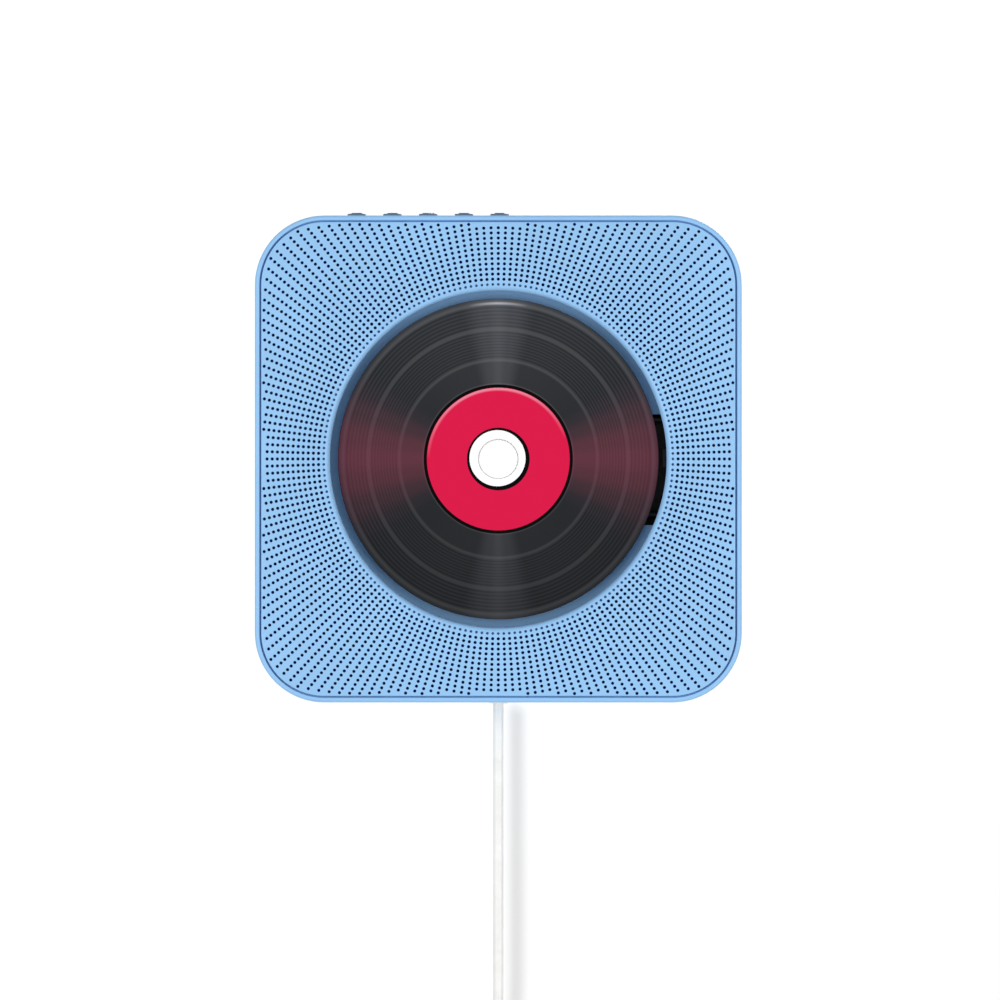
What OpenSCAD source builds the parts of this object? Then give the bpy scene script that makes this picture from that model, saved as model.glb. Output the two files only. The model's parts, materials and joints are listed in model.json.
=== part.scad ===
// Wall mounted disc player, millimetres.
// X points right and Z up, as seen from the front. The wall is the plane y = 0 and the front faces -Y.
// A depth is a distance out from the wall, so a point at depth d has y = -d.
// The origin is on the wall, on the disc's axis.

/* [Body] */
// Width and height of the square body
body_w = 182; // [180:1:186]
// Depth of the body, from back cover to front panel
body_depth = 40; // [40:1:46]
// Radius of the body's four corners, seen from the front
corner_r = 26; // [24:1:28]
// Thickness of the side walls
wall_t = 2.2; // [2:0.1:2.4]
// Gap between the back cover and the wall
wall_gap = 1.5; // [1.5:0.5:2]

/* [Disc bay] */
// Radius of the round well that the disc lies in
well_r = 63; // [62:0.5:63.5]
// How far the disc's front face lies below the front panel
disc_sink = 6.5; // [6:0.5:7]
// Radius of the panel's rolled edge round the well
roll_r = 3.4; // [3:0.2:3.6]
// Height of the opening that the pickup travels in
slot_h = 41.5; // [40:0.5:42]
// Middle of that opening, measured up from the disc's axis
slot_z = -4; // [-4.5:0.5:-3.5]

/* [Grille] */
// Diameter of the holes in the front panel
hole_d = 1.2; // [1:0.1:1.3]
// Distance from one ring of holes to the next
ring_pitch = 1.92; // [1.9:0.01:2]
// Radius of the innermost ring of holes
first_ring_r = 67.2; // [67:0.1:68]
// Number of rays that the holes lie on
ray_count = 200; // [180:4:200]

/* [Buttons] */
// Diameter of each button
button_d = 7; // [6.5:0.5:7]
// Distance from one button to the next
button_pitch = 13.4; // [13:0.1:13.6]
// How far a button stands out of the top edge
button_proud = 1; // [0.8:0.1:1.4]
// How far a button can be pressed
button_travel = 0.6; // [0.4:0.1:0.6]

/* [Speakers] */
// Diameter of each loudspeaker
speaker_d = 40; // [38:1:40]
// Distance from the body's side to the middle of a loudspeaker
speaker_inset = 29; // [29:0.5:30]

/* [Cord] */
// Diameter of the cord
cord_d = 3.9; // [3.7:0.1:3.9]
// Distance between neighbouring turns and layers of the coil
coil_pitch = 4.4; // [4.4:0.05:4.6]
// Radius of the coil's outermost turn, to the cord's middle
coil_r = 27; // [26.5:0.5:28]
// Turns in each layer of the coil
layer_turns = 2.5; // [2.5]
// How far the cord pulls out of the body to work the switch
pull_travel = 3.5; // [3:0.5:3.5]

/* [Wall bracket] */
// Width of the bracket's plate
bracket_w = 56; // [54:1:58]
// Distance between the bracket's two screw holes
bracket_hole_gap = 40; // [36:1:40]
// Radius of those holes
bracket_hole_r = 2.25; // [2:0.05:2.4]
// How far the player lifts before it comes off the hooks
lift_travel = 12; // [10:0.5:12]

/* [Hidden] */
$fn = 64;

// Depths of the shell
back_d = wall_gap;
front_d = back_d + body_depth;
panel_t = 2;
panel_back = front_d - panel_t;
cover_t = 2.2;
cover_front = back_d + cover_t;
cloth_t = 0.4;
cloth_back = panel_back - cloth_t;

// Half widths of the shell
half = body_w / 2;
inner_half = half - wall_t;
rim_t = 1.7;
rim_edge_r = 1.2;
groove_w = 0.7;
panel_half = half - rim_t - groove_w;
cover_half = inner_half - 0.2;
ledge_w = 4.2;
boss_r = 3.5;
boss_at = half - corner_r + (corner_r - wall_t - boss_r + 0.2) / sqrt(2);

// Depths of the disc bay, counted back from the front
disc_t = 1.2;
disc_front = front_d - disc_sink;
disc_back = disc_front - disc_t;
floor_front = disc_back - 2.8;
floor_t = 2;
floor_back = floor_front - floor_t;
well_wall_t = 2;
well_rim_d = panel_back - roll_r - 0.1;
roll_axis_r = well_r + roll_r;
slot_x = 14;

// The disc has the standard size
disc_r = 60;
disc_hole_r = 7.5;
stack_ring_r = 16.4;

// Turntable and spindle
turntable_r = 14;
turntable_front = disc_back - 0.3;
hub_r = 7.3;
hub_ball_r = 0.8;
hub_ball_d = turntable_front + 0.95;
spindle_r = 1;
spindle_hole_r = 1.03;

// Deck
plate_t = 1.5;
plate_front = floor_back - 0.8;
plate_back = plate_front - plate_t;
rod_r = 1.5;
rod_d = plate_back - 4.7;
rod_high_z = 15;
rod_low_z = -21;
rod_x0 = 10.5;
rod_x1 = 73;
rod_block = 3;
sled_x0 = 14.2;
sled_x1 = 31.5;
sled_back = rod_d - 4.5;
sled_front = rod_d + 3.5;
lens_x = 23;
motor_r = 12.2;
motor_l = 12.4;
damper_spots = [[-28, 26], [50, 27], [-28, -25], [46, -33]];

// Sled drive: a double gear takes the motor's pinion to the rack
gear_m = 0.8;
rack_z = -27;
small_teeth = 12;
big_teeth = 30;
pinion_teeth = 10;
small_r = gear_m * small_teeth / 2;
big_r = gear_m * big_teeth / 2;
pinion_r = gear_m * pinion_teeth / 2;
gear_x = 24;
gear_z = rack_z - small_r;
pinion_angle = 220;
pinion_x = gear_x + (big_r + pinion_r) * cos(pinion_angle);
pinion_z = gear_z + (big_r + pinion_r) * sin(pinion_angle);
gear_pin_r = 1;
big_back = rod_d - 4.8;
big_front = rod_d - 2.2;
shelf_back = big_back - 1.6;
shelf_t = 1;
sled_motor_r = 7.7;

// Loudspeakers
spk_x = half - speaker_inset;
spk_z = -spk_x;
spk_r = speaker_d / 2;
spk_front = panel_back - 3;
ear_at = spk_r + 2.6;
baffle_back = spk_front + 0.8;
baffle_ring_r = [well_r + 3, well_r + 5];

// Buttons and their board
button_first_x = -53.1;
button_count = 5;
key_d = back_d + body_depth / 2;
key_board_top = half - 10.4;
key_board_t = 1.6;
key_screw_x = [-62, 9.5];

// Main board
board_back = 6.5;
board_t = 1.6;
board_front = board_back + board_t;
board_x = [-74, 80];
board_z = [34, 74];
board_posts = [[-68, 38], [-68, 70], [66, 38], [66, 70]];
usb_z = 48;
jack_z = 66;
ir_back = cloth_back - 5;
jack_d = board_front + 3;
jack_hole_r = 1.8;

// Wall bracket and the cover's pocket for it
bracket_t = 3;
bracket_z = [-12, 22];
bracket_hole_z = -5;
hook_x = 19;
hook_w = 8;
hook_z = 9;
hook_tip_z = 15;
hook_d = [5, 6.2];
pocket_x = 31;
pocket_z = [bracket_z[0] - lift_travel - 3, bracket_z[1] + 3];
pocket_d = 6.7;

// Pull switch and cord
bushing_r = 3.6;
bushing_bore_r = 2.35;
bushing_top_z = -inner_half + 1.4;
pull_floor_z = -inner_half + 3.8;
pull_head_z = pull_floor_z + 15.2;
pull_end_z = bushing_top_z + 0.9 + pull_travel;
case_top_z = pull_head_z + 3.2;
cord_sides = 8;
coil_sides = 6;
loop_rings = 24;
coil_layers = 4;
join_angle = 60;
plug_l = 24;
plug_w = 15.5;
plug_t = 8;
plug_rise = cord_d / 2 + plug_t / 2 + 0.6;

// Route of the cord, from the pull switch down to its coil, chosen by hand
cord_route = [
  [0, -key_d, pull_end_z],
  [0, -key_d, -92],
  [0, -key_d, -102],
  [0, -key_d, -112],
  [0, -key_d, -122],
  [0, -key_d, -132],
  [0, -key_d, -142],
  [0, -key_d, -152],
  [0, -key_d, -162],
  [0, -key_d, -172],
  [0, -21.4, -182],
  [0, -20.7, -191],
  [0, -19.4, -199],
  [0, -17.6, -207],
  [1.2, -16.2, -213.8],
  [4.7, -15.3, -219.9],
  [10, -15, -224.3]
];

// The coil's turns, worked out from where the route ends
coil_turns = coil_layers * layer_turns + join_angle / 360;
coil_start = cord_route[len(cord_route) - 1];
coil_heading = [sin(join_angle), 0, -cos(join_angle)];
coil_mid = coil_start + cord_d * coil_heading - coil_r * [cos(join_angle), 0, sin(join_angle)];
coil_end = coil_at(coil_turns);
coil_path = concat(
  [coil_start],
  [for (i = [0:loop_rings * coil_turns]) coil_at(i / loop_rings)],
  [coil_end - [0, 0, cord_d]]
);
plug_top = coil_end[2] - cord_d;

function clamp01(v) = min(1, max(0, v));
function total(v, i = 0) = i < len(v) ? v[i] + total(v, i + 1) : 0;
function unit(v) = v / norm(v);

// The two ends of a stretch, given its middle and how far it reaches each way
function around(middle, reach) = [middle - reach, middle + reach];

// Layers climbed after t turns: each climb fills the half turn where the spiral reverses
function climbed(t) =
  total([for (k = [1:coil_layers - 1]) clamp01((t - k * layer_turns + 0.25) / 0.5)]);

// Turns gone inwards after t turns, in at a steady rate and out again
function gone_in(t) =
  let (pass = t - 2 * layer_turns * floor(t / (2 * layer_turns)))
  layer_turns - abs(pass - layer_turns);

// Middle of the coiled cord after t turns; the last quarter turn climbs out to the plug
function coil_at(t) =
  let (
    a = join_angle - 360 * t,
    r = coil_r - coil_pitch * gone_in(t),
    out = coil_pitch * climbed(t) + plug_rise * clamp01((t - coil_turns + 0.25) / 0.25)
  )
  coil_mid + [r * cos(a), -out, r * sin(a)];

// Least gap between stretches of a tube's path that lie half a turn or more apart
function least_gap(path, d, apart) =
  min([for (i = [0:len(path) - apart - 1], j = [i + apart:len(path) - 1]) norm(path[i] - path[j])]) - d;

function path_length(path) = total([for (i = [1:len(path) - 1]) norm(path[i] - path[i - 1])]);

echo(coil_least_gap = least_gap(coil_path, cord_d, loop_rings / 2));
echo(cord_length = path_length(cord_route) + path_length(coil_path));

// Colours
body_blue = [0.57, 0.75, 0.94];
button_blue = [0.4, 0.51, 0.61];
white_plastic = [0.94, 0.94, 0.93];
black_plastic = [0.1, 0.1, 0.11];
rubber_black = [0.14, 0.14, 0.15];
disc_black = [0.2, 0.2, 0.21];
steel = [0.72, 0.73, 0.75];
board_green = [0.1, 0.36, 0.2];
gear_white = [0.88, 0.87, 0.82];

// ---- Helpers ----

// Extrudes an outline, drawn as seen from the front, from depth d0 out to depth d1
module slab(d0, d1) {
  translate([0, -d0, 0])
    rotate([90, 0, 0])
      linear_extrude(d1 - d0)
        children();
}

// Turns a profile of [radius, depth] about an axis that points out of the wall at x, z
module turned(x = 0, z = 0) {
  translate([x, 0, z])
    rotate([90, 0, 0])
      rotate_extrude($fn = 96)
        children();
}

// Round bars along Y, X and Z
module bar_y(x, z, r, d0, d1) {
  translate([x, -d0, z])
    rotate([90, 0, 0])
      cylinder(h = d1 - d0, r = r);
}

module bar_x(d, z, r, x0, x1) {
  translate([x0, -d, z])
    rotate([0, 90, 0])
      cylinder(h = x1 - x0, r = r);
}

module bar_z(x, d, r, z0, z1) {
  translate([x, -d, z0])
    cylinder(h = z1 - z0, r = r);
}

// A box between two values of x, of depth and of z
module block(x, d, z) {
  translate([x[0], -d[1], z[0]])
    cube([x[1] - x[0], d[1] - d[0], z[1] - z[0]]);
}

module rounded_rect(w, h, r) {
  square([w - 2 * r, h], center = true);
  square([w, h - 2 * r], center = true);
  for (x = [-1, 1], z = [-1, 1])
    translate([x * (w / 2 - r), z * (h / 2 - r)])
      circle(r);
}

// Sweeps a section of [inset from the outline, depth] round the body's outline
module round_body() {
  side = body_w - 2 * corner_r;
  for (q = [0:3])
    rotate([0, 90 * q, 0]) {
      translate([half, 0, -side / 2])
        linear_extrude(side)
          rotate(180)
            children();
      translate([half - corner_r, 0, half - corner_r])
        rotate([90, 0, 0])
          rotate_extrude(angle = 90, $fn = 96)
            translate([corner_r, 0])
              mirror([1, 0])
                children();
    }
}

// One unbroken tube of triangles along a path, its ends square to the headings given
module tube(path, r, sides, ref, first, last) {
  n = len(path);
  function heading(i) = i == 0 ? first : i == n - 1 ? last : unit(path[i + 1] - path[i - 1]);
  function ring(i) =
    let (h = heading(i), s = unit(cross(h, ref)), u = cross(s, h))
    [for (k = [0:sides - 1]) path[i] + r * (cos(360 * k / sides) * s + sin(360 * k / sides) * u)];
  points = [for (i = [0:n - 1]) each ring(i)];
  walls = [
    for (i = [0:n - 2], k = [0:sides - 1])
      let (a = i * sides + k, b = i * sides + (k + 1) % sides)
      each [[a, a + sides, b], [b, a + sides, b + sides]]
  ];
  caps = [
    for (k = [1:sides - 2])
      each [[0, k, k + 1], [(n - 1) * sides, (n - 1) * sides + k + 1, (n - 1) * sides + k]]
  ];
  polyhedron(points, concat(walls, caps), convexity = 10);
}

// Involute tooth outline of a spur gear; a tooth points along the angle phase
module gear_outline(teeth, phase, bore_r) {
  press = 20;
  slack = 0.09;
  pitch_r = gear_m * teeth / 2;
  base_r = pitch_r * cos(press);
  tip_r = pitch_r + 0.8 * gear_m;
  root_r = pitch_r - gear_m;
  function roll(a) = tan(a) * 180 / PI - a;
  function half_tooth(r) =
    90 / teeth - slack / pitch_r * 90 / PI
    + roll(press) - roll(acos(min(1, base_r / max(r, base_r))));
  radii = [root_r, base_r + 0.1 * gear_m, pitch_r, tip_r];
  difference() {
    polygon([
      for (t = [0:teeth - 1])
        let (mid = phase + 360 * t / teeth)
        each concat(
          [for (r = radii) let (a = mid - half_tooth(r)) r * [cos(a), sin(a)]],
          [for (i = [3:-1:0]) let (r = radii[i], a = mid + half_tooth(r)) r * [cos(a), sin(a)]]
        )
    ]);
    circle(bore_r);
  }
}

// ---- Shell ----

module hook(x) {
  block([x - hook_w / 2, x + hook_w / 2], [bracket_t - 0.5, hook_d[1]], [hook_z - 3, hook_z]);
  block([x - hook_w / 2, x + hook_w / 2], hook_d, [hook_z - 1, hook_tip_z]);
}

// Plate screwed to the wall, with two hooks that the player hangs on
module wall_bracket() {
  plate_h = bracket_z[1] - bracket_z[0];
  color(white_plastic)
    difference() {
      union() {
        slab(0, bracket_t)
          translate([0, (bracket_z[0] + bracket_z[1]) / 2])
            rounded_rect(bracket_w, plate_h, 5);
        for (side = [-1, 1])
          hook(side * hook_x);
      }
      for (side = [-1, 1]) {
        bar_y(side * bracket_hole_gap / 2, bracket_hole_z, bracket_hole_r, -1, bracket_t + 1);
        translate([side * bracket_hole_gap / 2, -bracket_t / 2, bracket_hole_z])
          rotate([90, 0, 0])
            cylinder(h = bracket_t / 2 + 0.1, r1 = bracket_hole_r, r2 = bracket_hole_r + 2.4);
      }
    }
}

// Wall section of the body: the wall, the thin lip round the panel and the ledge that carries cloth and panel
module frame_section() {
  translate([0, back_d])
    square([wall_t, panel_back - back_d]);
  intersection() {
    translate([0, panel_back - 1])
      square([rim_t, panel_t + 1]);
    union() {
      translate([0, panel_back - 1])
        square([rim_t, panel_t + 1 - rim_edge_r]);
      translate([rim_edge_r, front_d - rim_edge_r])
        circle(rim_edge_r);
      translate([rim_edge_r, panel_back - 1])
        square([rim_t, panel_t + 1]);
    }
  }
  polygon([
    [wall_t / 2, cloth_back - 3.1],
    [wall_t, cloth_back - 3.1],
    [ledge_w, cloth_back - 1.1],
    [ledge_w, cloth_back],
    [wall_t / 2, cloth_back]
  ]);
}

module side_frame() {
  color(body_blue)
    difference() {
      union() {
        round_body()
          frame_section();
        for (x = [-1, 1], z = [-1, 1])
          bar_y(x * boss_at, z * boss_at, boss_r, cover_front, panel_back - 1);
        for (x = key_screw_x)
          bar_z(x, key_d, 3, key_board_top, half - 1);
        block([59, 67], [ir_back - 1.5, ir_back], [77.5, inner_half + 0.5]);
      }
      for (x = [-1, 1], z = [-1, 1])
        bar_y(x * boss_at, z * boss_at, 1.5, cover_front - 1, cover_front + 11);
      for (x = key_screw_x)
        bar_z(x, key_d, 1.25, key_board_top - 1, key_board_top + 6);
      for (i = [0:button_count - 1])
        bar_z(button_x(i), key_d, button_d / 2 + 0.2, inner_half - 1, half + 1);
      block([inner_half - 1, half + 1], [board_front - 0.2, board_front + 6.3], [usb_z - 6.9, usb_z + 6.9]);
      bar_x(jack_d, jack_z, 3.2, inner_half - 1, half + 1);
      bar_z(0, key_d, bushing_r - 0.25, -half - 1, -inner_half + 1);
    }
}

module back_cover() {
  vent_count = 9;
  vent_pitch = 7;
  color(body_blue)
    difference() {
      union() {
        difference() {
          union() {
            slab(back_d, cover_front)
              rounded_rect(2 * cover_half, 2 * cover_half, corner_r - wall_t - 0.2);
            block([-pocket_x - 2, pocket_x + 2], [back_d, pocket_d + 2], pocket_z + [-2, 2]);
          }
          block([-pocket_x, pocket_x], [back_d - 1, pocket_d], pocket_z);
        }
        for (side = [-1, 1])
          hanger(side * hook_x);
        for (p = board_posts)
          bar_y(p[0], p[1], 3, cover_front - 0.5, board_back);
      }
      for (p = board_posts)
        bar_y(p[0], p[1], 1.25, cover_front + 0.5, board_back + 1);
      for (x = [-1, 1], z = [-1, 1]) {
        bar_y(x * boss_at, z * boss_at, 1.7, back_d - 1, cover_front + 1);
        bar_y(x * boss_at, z * boss_at, 2.7, back_d - 1, back_d + 1.2);
      }
      for (i = [0:vent_count - 1])
        block(
          around((i - (vent_count - 1) / 2) * vent_pitch, 1.2),
          [back_d - 1, cover_front + 1],
          [-78, -56]
        );
    }
}

// A bar across the pocket that rests on one of the bracket's hooks
module hanger(x) {
  bar_d = [bracket_t + 0.3, hook_d[0] - 0.3];
  block([x - 8, x + 8], bar_d, [hook_z, hook_z + 5]);
  for (side = [-1, 1])
    block(around(x + side * 6.75, 1.25), [bar_d[0], pocket_d + 0.5], [hook_z, hook_z + 5]);
}

// Where a hole of the grille may lie: inside the panel's flat field
function in_field(p) =
  let (field = panel_half - 0.9, corner = half - corner_r - 2.4, r = field - corner)
  abs(p[0]) < field && abs(p[1]) < field
  && (abs(p[0]) < corner || abs(p[1]) < corner
      || norm([abs(p[0]) - corner, abs(p[1]) - corner]) < r);

// Holes on rays and rings: all of them in front of the loudspeakers, elsewhere every other ring and ray
module grille_holes() {
  reach = spk_r - 1;
  for (k = [0:24], i = [0:ray_count - 1]) {
    p = (first_ring_r + k * ring_pitch) * [cos(360 * i / ray_count), sin(360 * i / ray_count)];
    if (in_field(p) && (norm([abs(p[0]) - spk_x, p[1] - spk_z]) < reach || k % 2 + i % 2 == 0))
      translate(p)
        circle(d = hole_d, $fn = 16);
  }
}

// Section of the panel's rolled edge, as [radius, depth]
module roll_section() {
  intersection() {
    translate([roll_axis_r, front_d - roll_r])
      difference() {
        circle(roll_r);
        circle(roll_r - panel_t);
      }
    translate([well_r - 1, front_d - roll_r])
      square([roll_r + 1.01, roll_r + 1]);
  }
  translate([well_r, well_rim_d])
    square([panel_t, front_d - roll_r - well_rim_d + 0.01]);
}

module speaker_spots() {
  for (x = [-1, 1], a = [0:90:270])
    translate([x * spk_x + ear_at * cos(a), spk_z + ear_at * sin(a)])
      children();
}

module front_panel() {
  color(body_blue)
    union() {
      slab(panel_back, front_d)
        difference() {
          rounded_rect(2 * panel_half, 2 * panel_half, corner_r - rim_t - groove_w);
          circle(roll_axis_r, $fn = 96);
          grille_holes();
        }
      turned()
        roll_section();
    }
}

// Black cloth behind the holes, held between the panel and the frame's ledge
module grille_cloth() {
  color(rubber_black)
    slab(cloth_back, panel_back)
      difference() {
        rounded_rect(2 * cover_half, 2 * cover_half, corner_r - wall_t - 0.2);
        circle(roll_axis_r + 0.2);
      }
}

// Well that the disc lies in, with four posts that the deck hangs on
module disc_well() {
  color(body_blue)
    difference() {
      union() {
        bar_y(0, 0, well_r + well_wall_t, floor_back, floor_front);
        turned()
          translate([well_r, floor_back])
            square([well_wall_t, well_rim_d - floor_back]);
        for (p = damper_spots)
          bar_y(p[0], p[1], 3, floor_back, floor_front + 1.6);
      }
      bar_y(0, 0, turntable_r + 2, floor_back - 1, floor_front + 1);
      block(
        [slot_x, well_r - 0.1],
        [floor_back - 1, floor_front + 3],
        around(slot_z, slot_h / 2)
      );
      for (p = damper_spots)
        bar_y(p[0], p[1], 1.5, floor_back - 1, floor_front + 1);
    }
}

module housing_screws() {
  color(steel)
    for (x = [-1, 1], z = [-1, 1])
      difference() {
        union() {
          bar_y(x * boss_at, z * boss_at, 2.5, back_d + 0.1, back_d + 1.2);
          bar_y(x * boss_at, z * boss_at, 1.3, back_d + 1, cover_front + 9);
        }
        block(around(x * boss_at, 1.8), [back_d - 1, back_d + 0.6], around(z * boss_at, 0.35));
        block(around(x * boss_at, 0.35), [back_d - 1, back_d + 0.6], around(z * boss_at, 1.8));
      }
}

module wall_bumpers() {
  color(rubber_black)
    for (x = [-1, 1], z = [-1, 1])
      turned(x * (half - 27), z * (half - 27))
        polygon([[0, 0.1], [5, 0.1], [6, 0.6], [6, back_d], [0, back_d]]);
}

// ---- Disc deck ----

module rod_holder(x, z) {
  block([x, x + rod_block], [rod_d - 2.6, plate_back + 0.5], [z - 2.8, z + 2.8]);
}

// Closed tray behind the far end of the pickup's travel; its lower wall stays clear of the rack
module pickup_tray(d) {
  x = [38.5, rod_x1];
  block(x, d, [-27, 21]);
  block(x, [d[0], plate_back + 0.5], [19.8, 21]);
  block(x, [d[0], rod_d - 1], [-27, -25.8]);
  block([rod_x1 - 1.2, rod_x1], [d[0], plate_back + 0.5], [-27, 21]);
}

module deck_chassis() {
  holder_x1 = rod_x1 - rod_block;
  shelf_front = shelf_back + shelf_t;
  color(black_plastic)
    difference() {
      union() {
        slab(plate_back, plate_front)
          difference() {
            polygon([
              [-35, 33], [76, 33], [76, -27], [55, -27], [55, -41],
              [41, -41], [41, -53], [1, -53], [1, -32], [-35, -32]
            ]);
            translate([slot_x, slot_z - slot_h / 2])
              square([holder_x1 - slot_x, slot_h]);
          }
        block([61.6, holder_x1 + 1], [plate_back, plate_front], [-3, 3.7]);
        for (x = [rod_x0, holder_x1], z = [rod_low_z, rod_high_z])
          rod_holder(x, z);
        block([2, 40], [shelf_back, shelf_front], [-52, -28.5]);
        block([2, 40], [shelf_back, plate_back + 0.5], [-52, -50.5]);
        block([38.5, 40], [shelf_back, plate_back + 0.5], [-52, -28.5]);
        block([2, 3.5], [shelf_back, plate_back + 0.5], [-52, -32]);
        pickup_tray([shelf_back, shelf_front]);
      }
      bar_y(0, 0, 3.3, plate_back - 1, plate_front + 1);
      for (z = [rod_low_z, rod_high_z])
        bar_x(rod_d, z, rod_r + 0.02, rod_x0 - 1, rod_x1 + 1);
      for (p = damper_spots)
        bar_y(p[0], p[1], 4.15, plate_back - 1, plate_front + 1);
      bar_y(gear_x, gear_z, gear_pin_r + 0.01, shelf_back - 1, plate_front + 1);
      bar_y(pinion_x, pinion_z, 2.3, shelf_back - 1, shelf_front + 1);
    }
}

module deck_dampers() {
  color(rubber_black)
    for (p = damper_spots)
      turned(p[0], p[1])
        polygon([
          [1.9, plate_back - 1.1], [5.6, plate_back - 1.1], [5.6, plate_back],
          [4.1, plate_back], [4.1, plate_front], [5.6, plate_front],
          [5.6, floor_back], [1.9, floor_back]
        ]);
}

module deck_screws() {
  head_front = plate_back - 1.1;
  color(steel)
    for (p = damper_spots) {
      bar_y(p[0], p[1], 3.2, head_front - 1.8, head_front);
      bar_y(p[0], p[1], 1.45, head_front - 0.5, floor_front + 0.8);
    }
}

// A small motor: can, front boss and two terminals, with a hole for its shaft
module motor(x, z, r, back, front, boss_r, bore_r) {
  difference() {
    union() {
      bar_y(x, z, r, back, front);
      bar_y(x, z, boss_r, front - 0.5, front + 0.8);
      bar_y(x, z, r * 0.6, back - 0.6, back + 0.5);
    }
    bar_y(x, z, bore_r, back + 2, front + 2);
  }
}

module spindle_motor() {
  color(steel)
    motor(0, 0, motor_r, plate_back - motor_l, plate_back, 3.1, spindle_hole_r);
}

module guide_rods() {
  color(steel)
    for (z = [rod_low_z, rod_high_z])
      bar_x(rod_d, z, rod_r, rod_x0 + 0.2, rod_x1 - 0.2);
}

module sled_motor() {
  color(steel)
    motor(pinion_x, pinion_z, sled_motor_r, cover_front + 1, shelf_back, 2.1, 0.83);
}

module gear_pin() {
  color(steel)
    bar_y(gear_x, gear_z, gear_pin_r, shelf_back, plate_front - 0.4);
}

module limit_switch() {
  color(black_plastic)
    union() {
      block([14, 21], [plate_back - 6, plate_back], [19.2, 24]);
      block([11.5, 14.5], [plate_back - 4, plate_back - 3.6], [19.6, 23.6]);
    }
}

// ---- Boards ----

module main_board() {
  color(board_green)
    difference() {
      block(board_x, [board_back, board_front], board_z);
      for (p = board_posts)
        bar_y(p[0], p[1], 1.5, board_back - 1, board_front + 1);
    }
}

module chip(x, z, w, h, t) {
  block(around(x, w / 2), [board_front, board_front + t], around(z, h / 2));
}

module board_chips() {
  color(black_plastic) {
    chip(-34, 52, 14, 14, 1.4);
    chip(-2, 56, 10, 10, 1.2);
    chip(28, 60, 15, 12, 2.2);
    chip(46, 44, 8, 6, 1.5);
    chip(-56, 60, 6, 5, 1.5);
    chip(10, 44, 5, 4, 1.1);
    chip(-14, 68, 14, 4, 1.2);
    chip(26, 40, 14, 4, 1.2);
  }
}

module capacitors() {
  color(rubber_black)
    for (c = [[-58, 44, 4], [-48, 44, 3.2], [-48, 66, 2.5], [46, 66, 3.2], [56, 58, 4], [12, 68, 2.5]])
      difference() {
        bar_y(c[0], c[1], c[2], board_front, board_front + 2.4 * c[2]);
        block(
          around(c[0], c[2]),
          [board_front + 2.4 * c[2] - 0.25, board_front + 2.4 * c[2] + 1],
          around(c[1], 0.2)
        );
      }
}

module usb_port() {
  shell_z = around(usb_z, 6.55);
  shell_d = [board_front + 0.2, board_front + 5.9];
  color(steel)
    union() {
      difference() {
        block([76.5, half - 0.5], shell_d, shell_z);
        block([79, half], shell_d + [0.3, -0.3], shell_z + [0.3, -0.3]);
      }
      block([78, half - 2], [shell_d[0] + 3.2, shell_d[0] + 5], around(usb_z, 5.5));
      for (z = [-1, 1])
        block([78, 84], [board_front, shell_d[0] + 0.2], around(usb_z + z * 6, 0.5));
    }
}

module headphone_jack() {
  color(black_plastic)
    difference() {
      union() {
        block([77, inner_half - 0.7], [board_front, board_front + 6], around(jack_z, 3.2));
        bar_x(jack_d, jack_z, 2.9, inner_half - 1, half - 0.1);
      }
      bar_x(jack_d, jack_z, jack_hole_r, half - 12, half + 1);
    }
}

module board_screws() {
  color(steel) {
    for (p = board_posts) {
      bar_y(p[0], p[1], 2.4, board_front, board_front + 1.4);
      bar_y(p[0], p[1], 1.2, cover_front + 1, board_front + 0.5);
    }
    for (x = key_screw_x) {
      bar_z(x, key_d, 2.4, key_board_top - key_board_t - 1.4, key_board_top - key_board_t);
      bar_z(x, key_d, 1.2, key_board_top - key_board_t - 0.5, key_board_top + 5);
    }
  }
}

function button_x(i) = button_first_x + i * button_pitch;

module button_board() {
  color(board_green)
    difference() {
      block([-66, 14], around(key_d, 7.5), [key_board_top - key_board_t, key_board_top]);
      for (x = key_screw_x)
        bar_z(x, key_d, 1.4, key_board_top - key_board_t - 1, key_board_top + 1);
    }
}

module tact_switches() {
  color(black_plastic)
    for (i = [0:button_count - 1]) {
      block(around(button_x(i), 3), around(key_d, 3), [key_board_top, key_board_top + 3.4]);
      bar_z(button_x(i), key_d, 1.75, key_board_top + 3, key_board_top + 4.35);
    }
}

module ir_receiver() {
  color(black_plastic)
    union() {
      block([60, 66], [ir_back, ir_back + 2.6], [78, 84]);
      bar_z(63, ir_back + 2.6, 2.2, 78.5, 83.5);
    }
}

// Flat cables: main board to button board, and main board to deck
module ribbon_cables() {
  tape = 0.4;
  lift = board_front + 1.2;
  key_under = key_board_top - key_board_t;
  color(white_plastic) {
    union() {
      block([-20, -8], [lift, lift + tape], [66, key_under - 1.6]);
      block([-20, -8], [lift, key_d - 4], [key_under - 2, key_under - 1.6]);
      block([-20, -8], [key_d - 4.4, key_d - 4], [key_under - 2, key_under]);
    }
    union() {
      block([20, 32], [lift, lift + tape], [36, 42]);
      block([20, 32], [lift, plate_back], [35.6, 36]);
      block([20, 32], [plate_back - tape, plate_back], [26, 36]);
    }
  }
}

// A wire through points given as [x, depth, z], each stretch along one axis
module wire(points, r) {
  for (i = [0:len(points) - 2]) {
    a = [points[i][0], -points[i][1], points[i][2]];
    b = [points[i + 1][0], -points[i + 1][1], points[i + 1][2]];
    turn = unit(b - a);
    tilt = turn[0] != 0 ? [0, 90 * turn[0], 0]
      : turn[1] != 0 ? [-90 * turn[1], 0, 0]
      : [90 - 90 * turn[2], 0, 0];
    translate(a)
      rotate(tilt)
        cylinder(h = norm(b - a), r = r, $fn = 24);
    if (i > 0)
      translate(a)
        sphere(r, $fn = 24);
  }
}

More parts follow.
